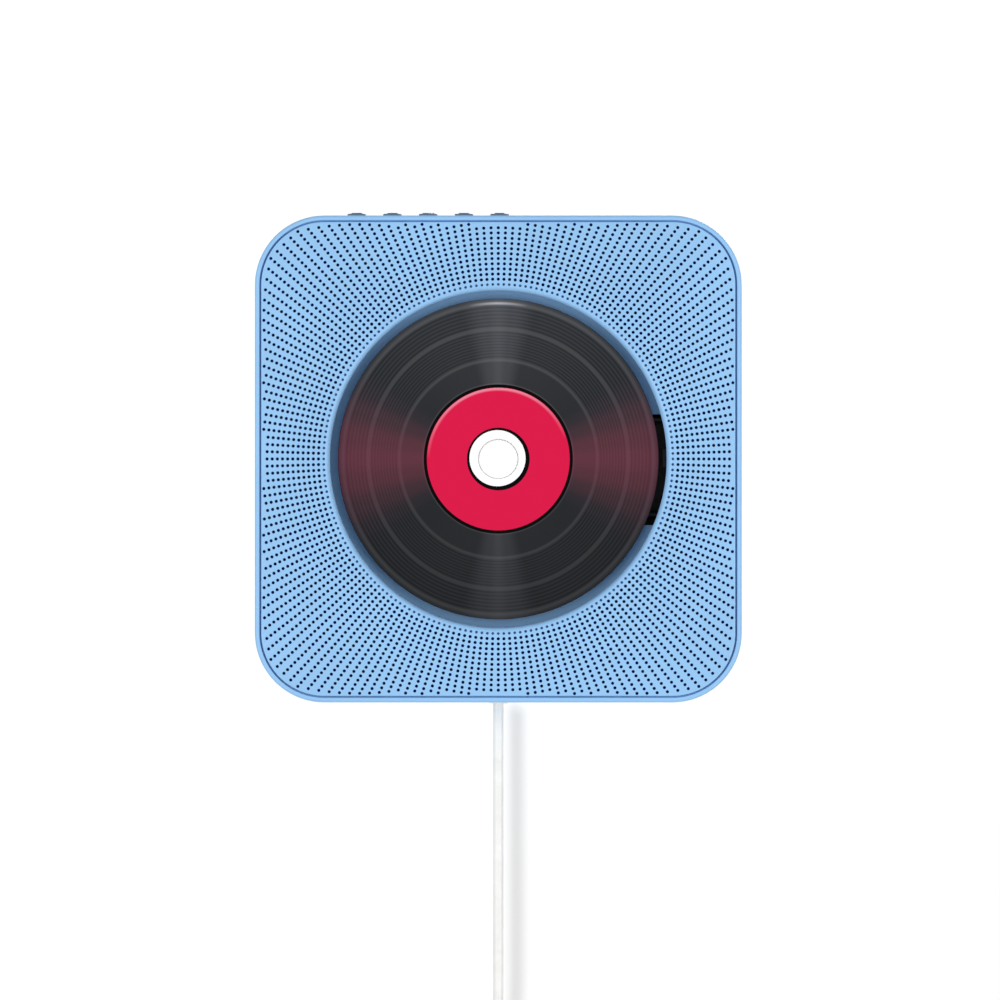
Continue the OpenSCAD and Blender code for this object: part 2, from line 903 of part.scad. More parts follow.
module speaker_wires() {
  color([0.75, 0.1, 0.1])
    for (side = [-1, 1], k = [0, 1])
      union()
        wire([
          [side * 73, board_front + 0.8, 38 - 1.8 * k],
          [side * (82 - 1.8 * k), board_front + 0.8, 38 - 1.8 * k],
          [side * (82 - 1.8 * k), board_front + 0.8, spk_z + 1.8 * k],
          [side * (82 - 1.8 * k), spk_front - 16, spk_z + 1.8 * k],
          [side * (spk_x + 11.1), spk_front - 16, spk_z + 1.8 * k]
        ], 0.7);
}

// ---- Loudspeakers ----

// Plate behind the cloth: a ring round the well and two corners that the loudspeakers are screwed to
module speaker_baffle() {
  plate_half = half - ledge_w - 0.5;
  color(black_plastic)
    difference() {
      union() {
        slab(baffle_back, cloth_back)
          difference() {
            union() {
              circle(baffle_ring_r[1], $fn = 96);
              intersection() {
                rounded_rect(2 * plate_half, 2 * plate_half, corner_r - ledge_w - 0.5);
                for (side = [-1, 1])
                  translate([side * plate_half, -plate_half])
                    square(2 * (plate_half - 34), center = true);
              }
            }
            circle(baffle_ring_r[0], $fn = 96);
            for (side = [-1, 1]) {
              translate([side * spk_x, spk_z])
                circle(spk_r - 1);
              translate([side * boss_at, -boss_at])
                circle(boss_r + 0.5);
            }
          }
        slab(spk_front, baffle_back + 0.2)
          speaker_spots()
            circle(2.6);
      }
      slab(spk_front - 1, cloth_back - 0.5)
        speaker_spots()
          circle(1.2);
    }
}

module speaker_baskets() {
  foot = spk_front - 12;
  color(steel)
    for (side = [-1, 1])
      difference() {
        union() {
          turned(side * spk_x, spk_z)
            polygon([
              [spk_r - 2.4, spk_front], [spk_r, spk_front], [spk_r, spk_front - 1],
              [spk_r - 1, spk_front - 1], [12, foot], [6.2, foot], [6.2, foot + 0.8],
              [11.5, foot + 0.8], [spk_r - 1.9, spk_front - 0.8], [spk_r - 2.4, spk_front - 0.8]
            ]);
          slab(spk_front - 1, spk_front)
            translate([side * spk_x, spk_z])
              for (a = [0:90:270])
                rotate(a)
                  difference() {
                    union() {
                      translate([spk_r - 1, -3])
                        square([ear_at - spk_r + 1, 6]);
                      translate([ear_at, 0])
                        circle(3);
                    }
                    translate([ear_at, 0])
                      circle(1.6);
                  }
        }
        translate([side * spk_x, 0, spk_z])
          for (a = [45:90:315])
            rotate([0, a, 0])
              block([11, 21], [foot + 2.5, spk_front - 2], [-5, 5]);
      }
}

module speaker_magnets() {
  top = spk_front - 12;
  color(rubber_black)
    for (side = [-1, 1])
      turned(side * spk_x, spk_z)
        polygon([
          [0, top - 8.5], [10.5, top - 8.5], [10.5, top - 7], [11, top - 7], [11, top - 1.2],
          [10.5, top - 1.2], [10.5, top], [5.7, top], [5.7, top - 7], [4.3, top - 7],
          [4.3, top], [0, top]
        ]);
}

module speaker_surround(side) {
  roll_mid = spk_r - 3.45;
  color(rubber_black)
    turned(side * spk_x, spk_z) {
      translate([spk_r - 2.5, spk_front])
        square([1, 0.4]);
      intersection() {
        translate([roll_mid, spk_front])
          difference() {
            circle(1.3, $fn = 32);
            circle(0.9, $fn = 32);
          }
        translate([roll_mid - 2, spk_front])
          square([4, 2]);
      }
      translate([roll_mid - 1.3, spk_front - 0.9])
        square([0.4, 0.95]);
    }
}

module speaker_surround_left() {
  speaker_surround(-1);
}

module speaker_surround_right() {
  speaker_surround(1);
}

module speaker_gaskets() {
  color(rubber_black)
    for (side = [-1, 1])
      turned(side * spk_x, spk_z)
        translate([spk_r - 1.4, spk_front])
          square([1.4, baffle_back - spk_front]);
}

module speaker_screws() {
  color(steel)
    for (side = [-1, 1], a = [0:90:270]) {
      x = side * spk_x + ear_at * cos(a);
      z = spk_z + ear_at * sin(a);
      bar_y(x, z, 2.3, spk_front - 2.4, spk_front - 1);
      bar_y(x, z, 1.05, spk_front - 1.5, cloth_back - 0.7);
    }
}

// Paper cone with its dust cap and the voice coil's tube
module speaker_cone(side) {
  rim_r = spk_r - 4.4;
  rim_d = spk_front - 0.9;
  neck_d = spk_front - 8;
  color(black_plastic)
    turned(side * spk_x, spk_z) {
      polygon([
        [4.75, neck_d - 8], [5.25, neck_d - 8], [5.25, neck_d], [rim_r, rim_d - 0.7],
        [rim_r, rim_d], [4.75, neck_d + 0.6]
      ]);
      intersection() {
        translate([0, neck_d - 6.2])
          difference() {
            circle(9.8, $fn = 64);
            circle(9.2, $fn = 64);
          }
        translate([0, neck_d])
          square([6.2, 6]);
      }
    }
}

module speaker_cone_left() {
  speaker_cone(-1);
}

module speaker_cone_right() {
  speaker_cone(1);
}

// ---- Turntable and disc ----

module turntable() {
  color(white_plastic)
    difference() {
      turned()
        polygon([
          [0, floor_back - 0.4], [3.5, floor_back - 0.4], [3.5, turntable_front - 1.8],
          [turntable_r, turntable_front - 1.8], [turntable_r, turntable_front],
          [hub_r, turntable_front], [hub_r, disc_front + 0.3], [hub_r - 0.3, disc_front + 0.6],
          [0, disc_front + 0.6]
        ]);
      bar_y(0, 0, spindle_r, floor_back - 1, disc_front);
      at_hub_balls()
        rotate([0, 90, 0])
          translate([0, 0, -1])
            cylinder(h = 3, r = hub_ball_r + 0.03);
    }
}

// Places of the three balls that hold the disc on the hub
module at_hub_balls() {
  for (a = [90:120:330])
    rotate([0, -a, 0])
      translate([hub_r - hub_ball_r + 0.1, -hub_ball_d, 0])
        children();
}

module hub_balls() {
  color(steel)
    at_hub_balls()
      sphere(hub_ball_r, $fn = 32);
}

module turntable_pad() {
  color(rubber_black)
    turned()
      translate([10.6, turntable_front])
        square([turntable_r - 0.4 - 10.6, disc_back - turntable_front]);
}

module spindle_shaft() {
  color(steel)
    bar_y(0, 0, spindle_r, plate_back - motor_l + 2.5, disc_front - 0.1);
}

module disc() {
  color(disc_black)
    turned() {
      translate([disc_hole_r, disc_back])
        square([disc_r - disc_hole_r, disc_t]);
      translate([stack_ring_r, disc_back - 0.15])
        square([0.8, 0.3]);
    }
}

// ---- Pickup and its drive ----

module pickup_sled() {
  color(black_plastic)
    difference() {
      union() {
        block([sled_x0, sled_x1], [sled_back, sled_front], [-17, 11.5]);
        block([sled_x0, sled_x1], [rod_d - 3.2, sled_front], [11, 18.4]);
        block([19, 27], [rod_d - 1.6, sled_front], [-24.2, -16]);
        for (z = [-1, 1])
          block(around(lens_x, 4.2), [sled_front - 0.5, sled_front + 3.2], around(z * 8.5, 1.2));
      }
      for (z = [rod_low_z, rod_high_z])
        bar_x(rod_d, z, rod_r + 0.04, sled_x0 - 1, sled_x1 + 1);
      block([18, 28], [rod_d - 3, rod_d], around(rod_low_z, rod_r + 0.04));
      bar_y(lens_x, 0, 4, sled_back + 2, sled_front + 1);
    }
}

// Rack with its teeth pointing down; a tooth points at the gear's axis at rest
module sled_rack() {
  tooth = PI * gear_m;
  tip_z = rack_z - 0.8 * gear_m;
  root_z = rack_z + gear_m;
  slope = tan(20);
  tooth_half = tooth / 4 - 0.09 / 2;
  back_teeth = 15;
  color(gear_white)
    slab(rod_d, rod_d + 3)
      polygon(concat(
        [[gear_x + 1.5 * tooth, rack_z + 2.8], [gear_x - (back_teeth + 0.5) * tooth, rack_z + 2.8]],
        [
          for (t = [-back_teeth:1])
            let (x = gear_x + t * tooth)
            each [
              [x - tooth_half - slope * (root_z - rack_z), root_z],
              [x - tooth_half + slope * (rack_z - tip_z), tip_z],
              [x + tooth_half - slope * (rack_z - tip_z), tip_z],
              [x + tooth_half + slope * (root_z - rack_z), root_z]
            ]
        ]
      ));
}

module lens_holder() {
  color(rubber_black)
    difference() {
      union() {
        bar_y(lens_x, 0, 4.2, sled_front + 0.8, sled_front + 4.6);
        block(around(lens_x, 4.2), [sled_front + 0.8, sled_front + 3], [-6.6, 6.6]);
      }
      bar_y(lens_x, 0, 2.5, sled_front, sled_front + 6);
    }
}

module pickup_lens() {
  rim = sled_front + 3.4;
  color([0.5, 0.6, 0.85])
    turned(lens_x, 0)
      intersection() {
        translate([0, rim])
          square([2.45, 3]);
        translate([0, rim - 2.2])
          circle(4, $fn = 64);
      }
}

module sled_gear() {
  color(gear_white)
    union() {
      slab(big_back, big_front)
        translate([gear_x, gear_z])
          gear_outline(big_teeth, pinion_angle, gear_pin_r + 0.04);
      slab(big_front - 0.2, sled_front - 0.3)
        translate([gear_x, gear_z])
          gear_outline(small_teeth, 90 + 180 / small_teeth, gear_pin_r + 0.04);
    }
}

module motor_pinion() {
  color(gear_white)
    union() {
      slab(big_back + 0.1, big_front + 0.3)
        translate([pinion_x, pinion_z])
          gear_outline(pinion_teeth, pinion_angle - 180 + 180 / pinion_teeth, 0.5);
      bar_y(pinion_x, pinion_z, 0.8, shelf_back - 7, big_front);
    }
}

// ---- Buttons ----

// A round button; the children are the raised sign on its top
module push_button(i) {
  flange_top = inner_half - 0.2;
  color(button_blue)
    translate([button_x(i), -key_d, 0]) {
      translate([0, 0, flange_top - 1.8])
        cylinder(h = 1.8, d = button_d + 2.2);
      translate([0, 0, flange_top - 0.5])
        cylinder(h = half + button_proud - flange_top + 0.3, d = button_d);
      translate([0, 0, half + button_proud - 0.2])
        cylinder(h = 0.2, d1 = button_d, d2 = button_d - 0.4);
      translate([0, 0, key_board_top + 4.35 + button_travel + 0.05])
        cylinder(h = flange_top - 1 - key_board_top - 5, d = 3);
      translate([0, 0, half + button_proud - 0.2])
        linear_extrude(0.55)
          children();
    }
}

module triangle_sign(x, w, h) {
  polygon([[x - w / 2, -h / 2], [x + w / 2, 0], [x - w / 2, h / 2]]);
}

module button_power() {
  push_button(0) {
    difference() {
      circle(2);
      circle(1.4);
      translate([-0.7, 0])
        square([1.4, 3]);
    }
    translate([-0.3, 0.2])
      square([0.6, 2.2]);
  }
}

module button_back() {
  push_button(1)
    mirror([1, 0]) {
      triangle_sign(-0.9, 2, 2.6);
      triangle_sign(0.9, 2, 2.6);
    }
}

module button_play() {
  push_button(2) {
    triangle_sign(-0.9, 2.4, 2.8);
    for (x = [0.8, 1.9])
      translate([x - 0.3, -1.4])
        square([0.6, 2.8]);
  }
}

module button_next() {
  push_button(3) {
    triangle_sign(-0.9, 2, 2.6);
    triangle_sign(0.9, 2, 2.6);
  }
}

module button_mode() {
  push_button(4) {
    translate([-1.8, 0.9])
      square([3.6, 0.6]);
    translate([-1.8, -0.3])
      square([3.6, 0.6]);
    translate([-1.8, -1.5])
      square([3.6, 0.6]);
  }
}

// ---- Pull switch and cord ----

module pull_switch_case() {
  color(white_plastic)
    difference() {
      block([-8, 8], around(key_d, 8), [-inner_half, case_top_z]);
      bar_z(0, key_d, 5.6, pull_floor_z, pull_head_z + 0.3);
      bar_z(0, key_d, 2.6, -inner_half - 1, pull_floor_z + 1);
      bar_z(0, key_d, bushing_r - 0.2, -inner_half - 1, bushing_top_z + 0.1);
      block([-3, 3], [key_d - 9, key_d - 3], [pull_floor_z + 2, pull_head_z - 1.2]);
    }
}

module pull_slider() {
  color(black_plastic)
    union() {
      bar_z(0, key_d, 5.3, pull_head_z - 2.6, pull_head_z);
      bar_z(0, key_d, 2.2, pull_end_z, pull_head_z - 2);
    }
}

// Compression spring between the case's floor and the slider's head
module pull_spring() {
  curls = 6;
  curl_rings = 8;
  spring_r = 3.9;
  wire_r = 0.35;
  low = pull_floor_z + wire_r + 0.05;
  high = pull_head_z - 2.6 - wire_r - 0.05;
  rise = (high - low) / curls;
  path = [
    for (i = [0:curls * curl_rings])
      let (a = 360 * i / curl_rings)
      [spring_r * cos(a), -key_d + spring_r * sin(a), low + rise * i / curl_rings]
  ];
  ends = unit([0, spring_r * 2 * PI, rise]);
  color(steel)
    tube(path, wire_r, 6, [0, 0, 1], ends, ends);
}

module cord_bushing() {
  color(white_plastic)
    translate([0, -key_d, 0])
      rotate_extrude()
        polygon([
          [bushing_bore_r, -half - 0.6], [bushing_r - 0.3, -half - 0.6], [bushing_r, -half - 0.3],
          [bushing_r, -half], [bushing_r - 0.3, -half], [bushing_r - 0.3, bushing_top_z],
          [bushing_bore_r, bushing_top_z]
        ]);
}

module cord() {
  color(white_plastic)
    tube(cord_route, cord_d / 2, cord_sides, [0, 1, 0], [0, 0, -1], coil_heading);
}

module cord_coil() {
  color(white_plastic)
    tube(coil_path, cord_d / 2, coil_sides, [0, 1, 0], coil_heading, [0, 0, -1]);
}

// Band round all the turns of the coil, at its upper left
module cord_tie() {
  tie_angle = 125;
  room = cord_d / 2 + 0.35;
  layers_d = [-coil_mid[1], -coil_mid[1] + coil_pitch * (coil_layers - 1)];
  inner_r = coil_r - coil_pitch * layer_turns - room;
  outer_r = coil_r + room;
  color(rubber_black)
    translate([coil_mid[0], 0, coil_mid[2]])
      rotate([0, 90 - tie_angle, 0])
        difference() {
          block([-2, 2], layers_d + [-room - 1, room + 1], [inner_r - 1, outer_r + 1]);
          block([-3, 3], layers_d + [-room, room], [inner_r, outer_r]);
        }
}

module usb_plug() {
  shell_l = 12;
  metal_z = plug_top - plug_l;
  color(white_plastic)
    translate([coil_end[0], coil_end[1], 0])
      union() {
        translate([0, 0, plug_top - 2])
          cylinder(h = 2, r1 = 3.4, r2 = 2.8);
        translate([0, 0, metal_z])
          linear_extrude(plug_l - 2)
            rounded_rect(plug_w, plug_t, 2.4);
        difference() {
          translate([-6, -2.25, metal_z - shell_l])
            cube([12, 4.5, shell_l + 1]);
          translate([-5.7, -0.2, metal_z - shell_l - 1])
            cube([11.4, 2.15, shell_l]);
        }
      }
}

wall_bracket();
side_frame();
back_cover();
front_panel();
grille_cloth();
disc_well();
housing_screws();
wall_bumpers();
deck_chassis();
deck_dampers();
deck_screws();
spindle_motor();
guide_rods();
sled_motor();
gear_pin();
limit_switch();
main_board();
board_chips();
capacitors();
usb_port();
headphone_jack();
board_screws();
button_board();
tact_switches();
speaker_baffle();
speaker_baskets();
speaker_magnets();
speaker_surround_left();
speaker_surround_right();
speaker_gaskets();
speaker_screws();
pull_switch_case();
pull_spring();
cord_bushing();
ir_receiver();
ribbon_cables();
speaker_wires();
speaker_cone_left();
speaker_cone_right();
turntable();
hub_balls();
turntable_pad();
spindle_shaft();
disc();
pickup_sled();
sled_rack();
lens_holder();
pickup_lens();
sled_gear();
motor_pinion();
button_power();
button_back();
button_play();
button_next();
button_mode();
pull_slider();
cord();
cord_coil();
cord_tie();
usb_plug();
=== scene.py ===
import json
import math

import bmesh
import bpy
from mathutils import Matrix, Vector


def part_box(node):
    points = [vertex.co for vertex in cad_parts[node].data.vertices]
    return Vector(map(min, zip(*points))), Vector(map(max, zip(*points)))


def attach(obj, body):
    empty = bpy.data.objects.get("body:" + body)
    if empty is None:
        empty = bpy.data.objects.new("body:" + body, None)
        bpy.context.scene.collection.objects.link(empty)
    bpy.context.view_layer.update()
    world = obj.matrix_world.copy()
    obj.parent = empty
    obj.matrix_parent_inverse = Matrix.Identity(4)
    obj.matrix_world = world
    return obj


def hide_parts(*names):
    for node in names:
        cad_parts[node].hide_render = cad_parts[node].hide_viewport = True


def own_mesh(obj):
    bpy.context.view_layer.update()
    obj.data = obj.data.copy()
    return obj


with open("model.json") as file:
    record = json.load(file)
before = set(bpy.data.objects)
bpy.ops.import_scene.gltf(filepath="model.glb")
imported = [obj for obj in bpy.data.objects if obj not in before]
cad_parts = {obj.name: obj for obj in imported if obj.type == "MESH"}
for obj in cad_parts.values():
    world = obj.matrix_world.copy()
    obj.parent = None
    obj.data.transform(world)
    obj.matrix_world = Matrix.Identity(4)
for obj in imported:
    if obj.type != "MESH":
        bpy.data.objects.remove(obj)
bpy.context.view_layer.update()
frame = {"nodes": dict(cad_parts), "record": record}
record = frame["record"]

# ---------------------------------------------------------------- sizes, in metres
mm = 0.001

# The photograph: pixels per millimetre, its side in pixels, and the pixel of the disc's axis
photo_scale = 2.673
photo_side = 1000
axis_pixel = (498.3, 459.0)

# The body, from the frame
front_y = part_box("front_panel")[0].y
panel_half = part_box("front_panel")[1].x
panel_corner_middle = 65 * mm
well_r = 63 * mm
well_rim_y = -36 * mm
roll_r = 3.4 * mm
panel_t = 2 * mm

# The grille
hole_d = 1.24 * mm
ring_pitch = 1.92 * mm
first_ring_r = 67.2 * mm
ray_count = 200
ring_count = 25
lip_ring_r = 65.25 * mm
lip_hole_d = 1.05 * mm
field_half = 87.7 * mm

# The back cover's screws
screw_head_r = 2.5 * mm

# The disc
disc_low, disc_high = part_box("disc")
disc_r = disc_high.x
disc_hole_r = 7.42 * mm

# The cord
cord_d = 3.9 * mm
coil_pitch = 4.4 * mm
coil_r = 27 * mm
coil_layers = 4
layer_turns = 2.5
join_angle = math.radians(60)
plug_rise = 6.55 * mm
rings_a_turn = 24


# ---------------------------------------------------------------- node helpers

def feed(tree, socket, value):
    """Fills a socket with a constant, or links another node's output to it."""
    if isinstance(value, bpy.types.NodeSocket):
        tree.links.new(value, socket)
    else:
        socket.default_value = value


def put(tree, kind, inputs=(), **settings):
    node = tree.nodes.new(kind)
    for key, value in settings.items():
        setattr(node, key, value)
    for key, value in dict(inputs).items():
        feed(tree, node.inputs[key], value)
    return node


def maths(tree, operation, *values):
    return put(tree, "ShaderNodeMath", enumerate(values), operation=operation).outputs[0]


def spread(tree, value, low, high, to_low, to_high):
    """Maps a value from one range to another, held at the ends."""
    inputs = {"Value": value, "From Min": low, "From Max": high, "To Min": to_low, "To Max": to_high}
    return put(tree, "ShaderNodeMapRange", inputs).outputs["Result"]


def ramp(tree, value, stops, interpolation="LINEAR"):
    """A colour ramp; stops is a list of (place, colour)."""
    node = put(tree, "ShaderNodeValToRGB", {"Fac": value})
    node.color_ramp.interpolation = interpolation
    elements = node.color_ramp.elements
    elements[0].position, elements[0].color = stops[0]
    elements[1].position, elements[1].color = stops[-1]
    for spot, colour in stops[1:-1]:
        elements.new(spot).color = colour
    return node


def blend_colours(tree, amount, first, second, mode="MIX"):
    node = put(tree, "ShaderNodeMix", data_type="RGBA", blend_type=mode)
    feed(tree, node.inputs[0], amount)
    feed(tree, node.inputs[6], first)
    feed(tree, node.inputs[7], second)
    return node.outputs[2]


def place(tree):
    """The point on the piece, and its x, y and z."""
    point = put(tree, "ShaderNodeTexCoord").outputs["Object"]
    return point, put(tree, "ShaderNodeSeparateXYZ", {0: point}).outputs


def noise(tree, point, scale, detail=2.0, roughness=0.5):
    inputs = {"Vector": point, "Scale": scale, "Detail": detail, "Roughness": roughness}
    return put(tree, "ShaderNodeTexNoise", inputs).outputs["Fac"]


def bump(tree, height, strength, depth):
    inputs = {"Height": height, "Strength": strength, "Distance": depth}
    return put(tree, "ShaderNodeBump", inputs).outputs["Normal"]


def rgb(red, green, blue):
    """A screen colour, 0 to 255, as the shader's linear colour."""
    def linear(c):
        c /= 255
        return c / 12.92 if c <= 0.04045 else ((c + 0.055) / 1.055) ** 2.4
    return (linear(red), linear(green), linear(blue), 1.0)


def shade(colour, factor):
    return tuple(c * factor for c in colour[:3]) + (1.0,)


def grey(level):
    return (level, level, level, 1.0)


def new_material(name):
    material = bpy.data.materials.new(name)
    material.use_nodes = True
    tree = material.node_tree
    return material, tree, tree.nodes["Principled BSDF"]


# ---------------------------------------------------------------- finishes

def moulded_plastic(name, colour, roughness=0.42, mottle=0.03):
    """Satin moulded plastic: a fine spark-eroded grain, and a slight drift of colour and gloss."""
    material, tree, shader = new_material(name)
    point, _ = place(tree)
    drift = noise(tree, point, 22, 3)
    low, high = shade(colour, 1 - mottle), shade(colour, 1 + mottle)
    feed(tree, shader.inputs["Base Color"], ramp(tree, drift, [(0.3, low), (0.7, high)]).outputs[0])
    worn = noise(tree, point, 90, 4)
    feed(tree, shader.inputs["Roughness"], spread(tree, worn, 0.3, 0.7, roughness - 0.05, roughness + 0.06))
    grain = noise(tree, point, 4200, 1)
    feed(tree, shader.inputs["Normal"], bump(tree, grain, 0.5, 0.012 * mm))
    shader.inputs["Specular IOR Level"].default_value = 0.35
    return material


def rubber(name, colour):
    material, tree, shader = new_material(name)
    point, _ = place(tree)
    dust = noise(tree, point, 260, 4, 0.6)
    feed(tree, shader.inputs["Base Color"],
         ramp(tree, dust, [(0.35, shade(colour, 0.8)), (0.75, shade(colour, 1.5))]).outputs[0])
    feed(tree, shader.inputs["Normal"], bump(tree, noise(tree, point, 2600, 2), 0.6, 0.02 * mm))
    shader.inputs["Roughness"].default_value = 0.72
    shader.inputs["Specular IOR Level"].default_value = 0.3
    return material


def cord_jacket():
    """Soft white jacket with faint drawn lines along it and handling marks."""
    material, tree, shader = new_material("cord_jacket")
    point, _ = place(tree)
    marks = noise(tree, point, 140, 4, 0.6)
    feed(tree, shader.inputs["Base Color"],
         ramp(tree, marks, [(0.3, rgb(236, 236, 233)), (0.65, rgb(246, 246, 244))]).outputs[0])
    feed(tree, shader.inputs["Normal"], bump(tree, noise(tree, point, 900, 2), 0.4, 0.02 * mm))
    shader.inputs["Roughness"].default_value = 0.45
    shader.inputs["Subsurface Weight"].default_value = 0.05
    shader.inputs["Subsurface Scale"].default_value = 0.5 * mm
    return material


def brushed_metal(name, colour, roughness, across):
    """Metal with fine brushing: the noise is stretched along the axis with the smallest value of across."""
    material, tree, shader = new_material(name)
    point, _ = place(tree)
    stretched = put(tree, "ShaderNodeVectorMath", {0: point, 1: across}, operation="MULTIPLY").outputs[0]
    lines = noise(tree, stretched, 1400, 3, 0.6)
    feed(tree, shader.inputs["Base Color"],
         ramp(tree, lines, [(0.3, shade(colour, 0.85)), (0.7, shade(colour, 1.1))]).outputs[0])
    feed(tree, shader.inputs["Roughness"], spread(tree, lines, 0.3, 0.7, roughness - 0.08, roughness + 0.1))
    feed(tree, shader.inputs["Normal"], bump(tree, lines, 0.3, 0.01 * mm))
    shader.inputs["Metallic"].default_value = 1.0
    return material


def woven_cloth():
    """Navy speaker cloth: two crossing sets of threads."""
    material, tree, shader = new_material("speaker_cloth")
    _, axes = place(tree)
    thread = 2 * math.pi / (0.35 * mm)
    warp = maths(tree, "SINE", maths(tree, "MULTIPLY", axes["X"], thread))
    weft = maths(tree, "SINE", maths(tree, "MULTIPLY", axes["Z"], thread))
    weave = maths(tree, "MULTIPLY", warp, weft)
    feed(tree, shader.inputs["Base Color"],
         ramp(tree, weave, [(0.0, rgb(0, 52, 116)), (0.9, rgb(0, 72, 154))]).outputs[0])
    feed(tree, shader.inputs["Normal"], bump(tree, weave, 0.6, 0.05 * mm))
    shader.inputs["Roughness"].default_value = 0.9
    shader.inputs["Specular IOR Level"].default_value = 0.1
    return material


def circuit_board():
    """Green lacquer over copper tracks, with bare tinned pads."""
    material, tree, shader = new_material("circuit_board")
    point, _ = place(tree)
    tracks = put(tree, "ShaderNodeTexBrick", {
        "Vector": point, "Scale": 160.0, "Mortar Size": 0.03, "Color1": rgb(18, 92, 50),
        "Color2": rgb(22, 104, 58), "Mortar": rgb(44, 138, 78),
    })
    pads = put(tree, "ShaderNodeTexVoronoi", {"Vector": point, "Scale": 420.0}).outputs["Distance"]
    pad = maths(tree, "LESS_THAN", pads, 0.12)
    feed(tree, shader.inputs["Base Color"],
         blend_colours(tree, pad, tracks.outputs["Color"], rgb(190, 192, 186)))
    feed(tree, shader.inputs["Normal"], bump(tree, tracks.outputs["Fac"], 0.4, 0.02 * mm))
    shader.inputs["Roughness"].default_value = 0.35
    return material


def paper_cone():
    material, tree, shader = new_material("paper_cone")
    point, _ = place(tree)
    pulp = noise(tree, point, 700, 5, 0.65)
    feed(tree, shader.inputs["Base Color"],
         ramp(tree, pulp, [(0.3, rgb(34, 34, 36)), (0.75, rgb(66, 65, 66))]).outputs[0])
    feed(tree, shader.inputs["Normal"], bump(tree, pulp, 0.5, 0.05 * mm))
    shader.inputs["Roughness"].default_value = 0.88
    return material


def lens_glass():
    material, tree, shader = new_material("lens_glass")
    point, _ = place(tree)
    tint = noise(tree, point, 500, 1)
    feed(tree, shader.inputs["Base Color"],
         ramp(tree, tint, [(0.3, rgb(150, 170, 235)), (0.7, rgb(190, 160, 230))]).outputs[0])
    shader.inputs["Transmission Weight"].default_value = 0.75
    shader.inputs["Roughness"].default_value = 0.05
    shader.inputs["Coat Weight"].default_value = 0.6
    return material


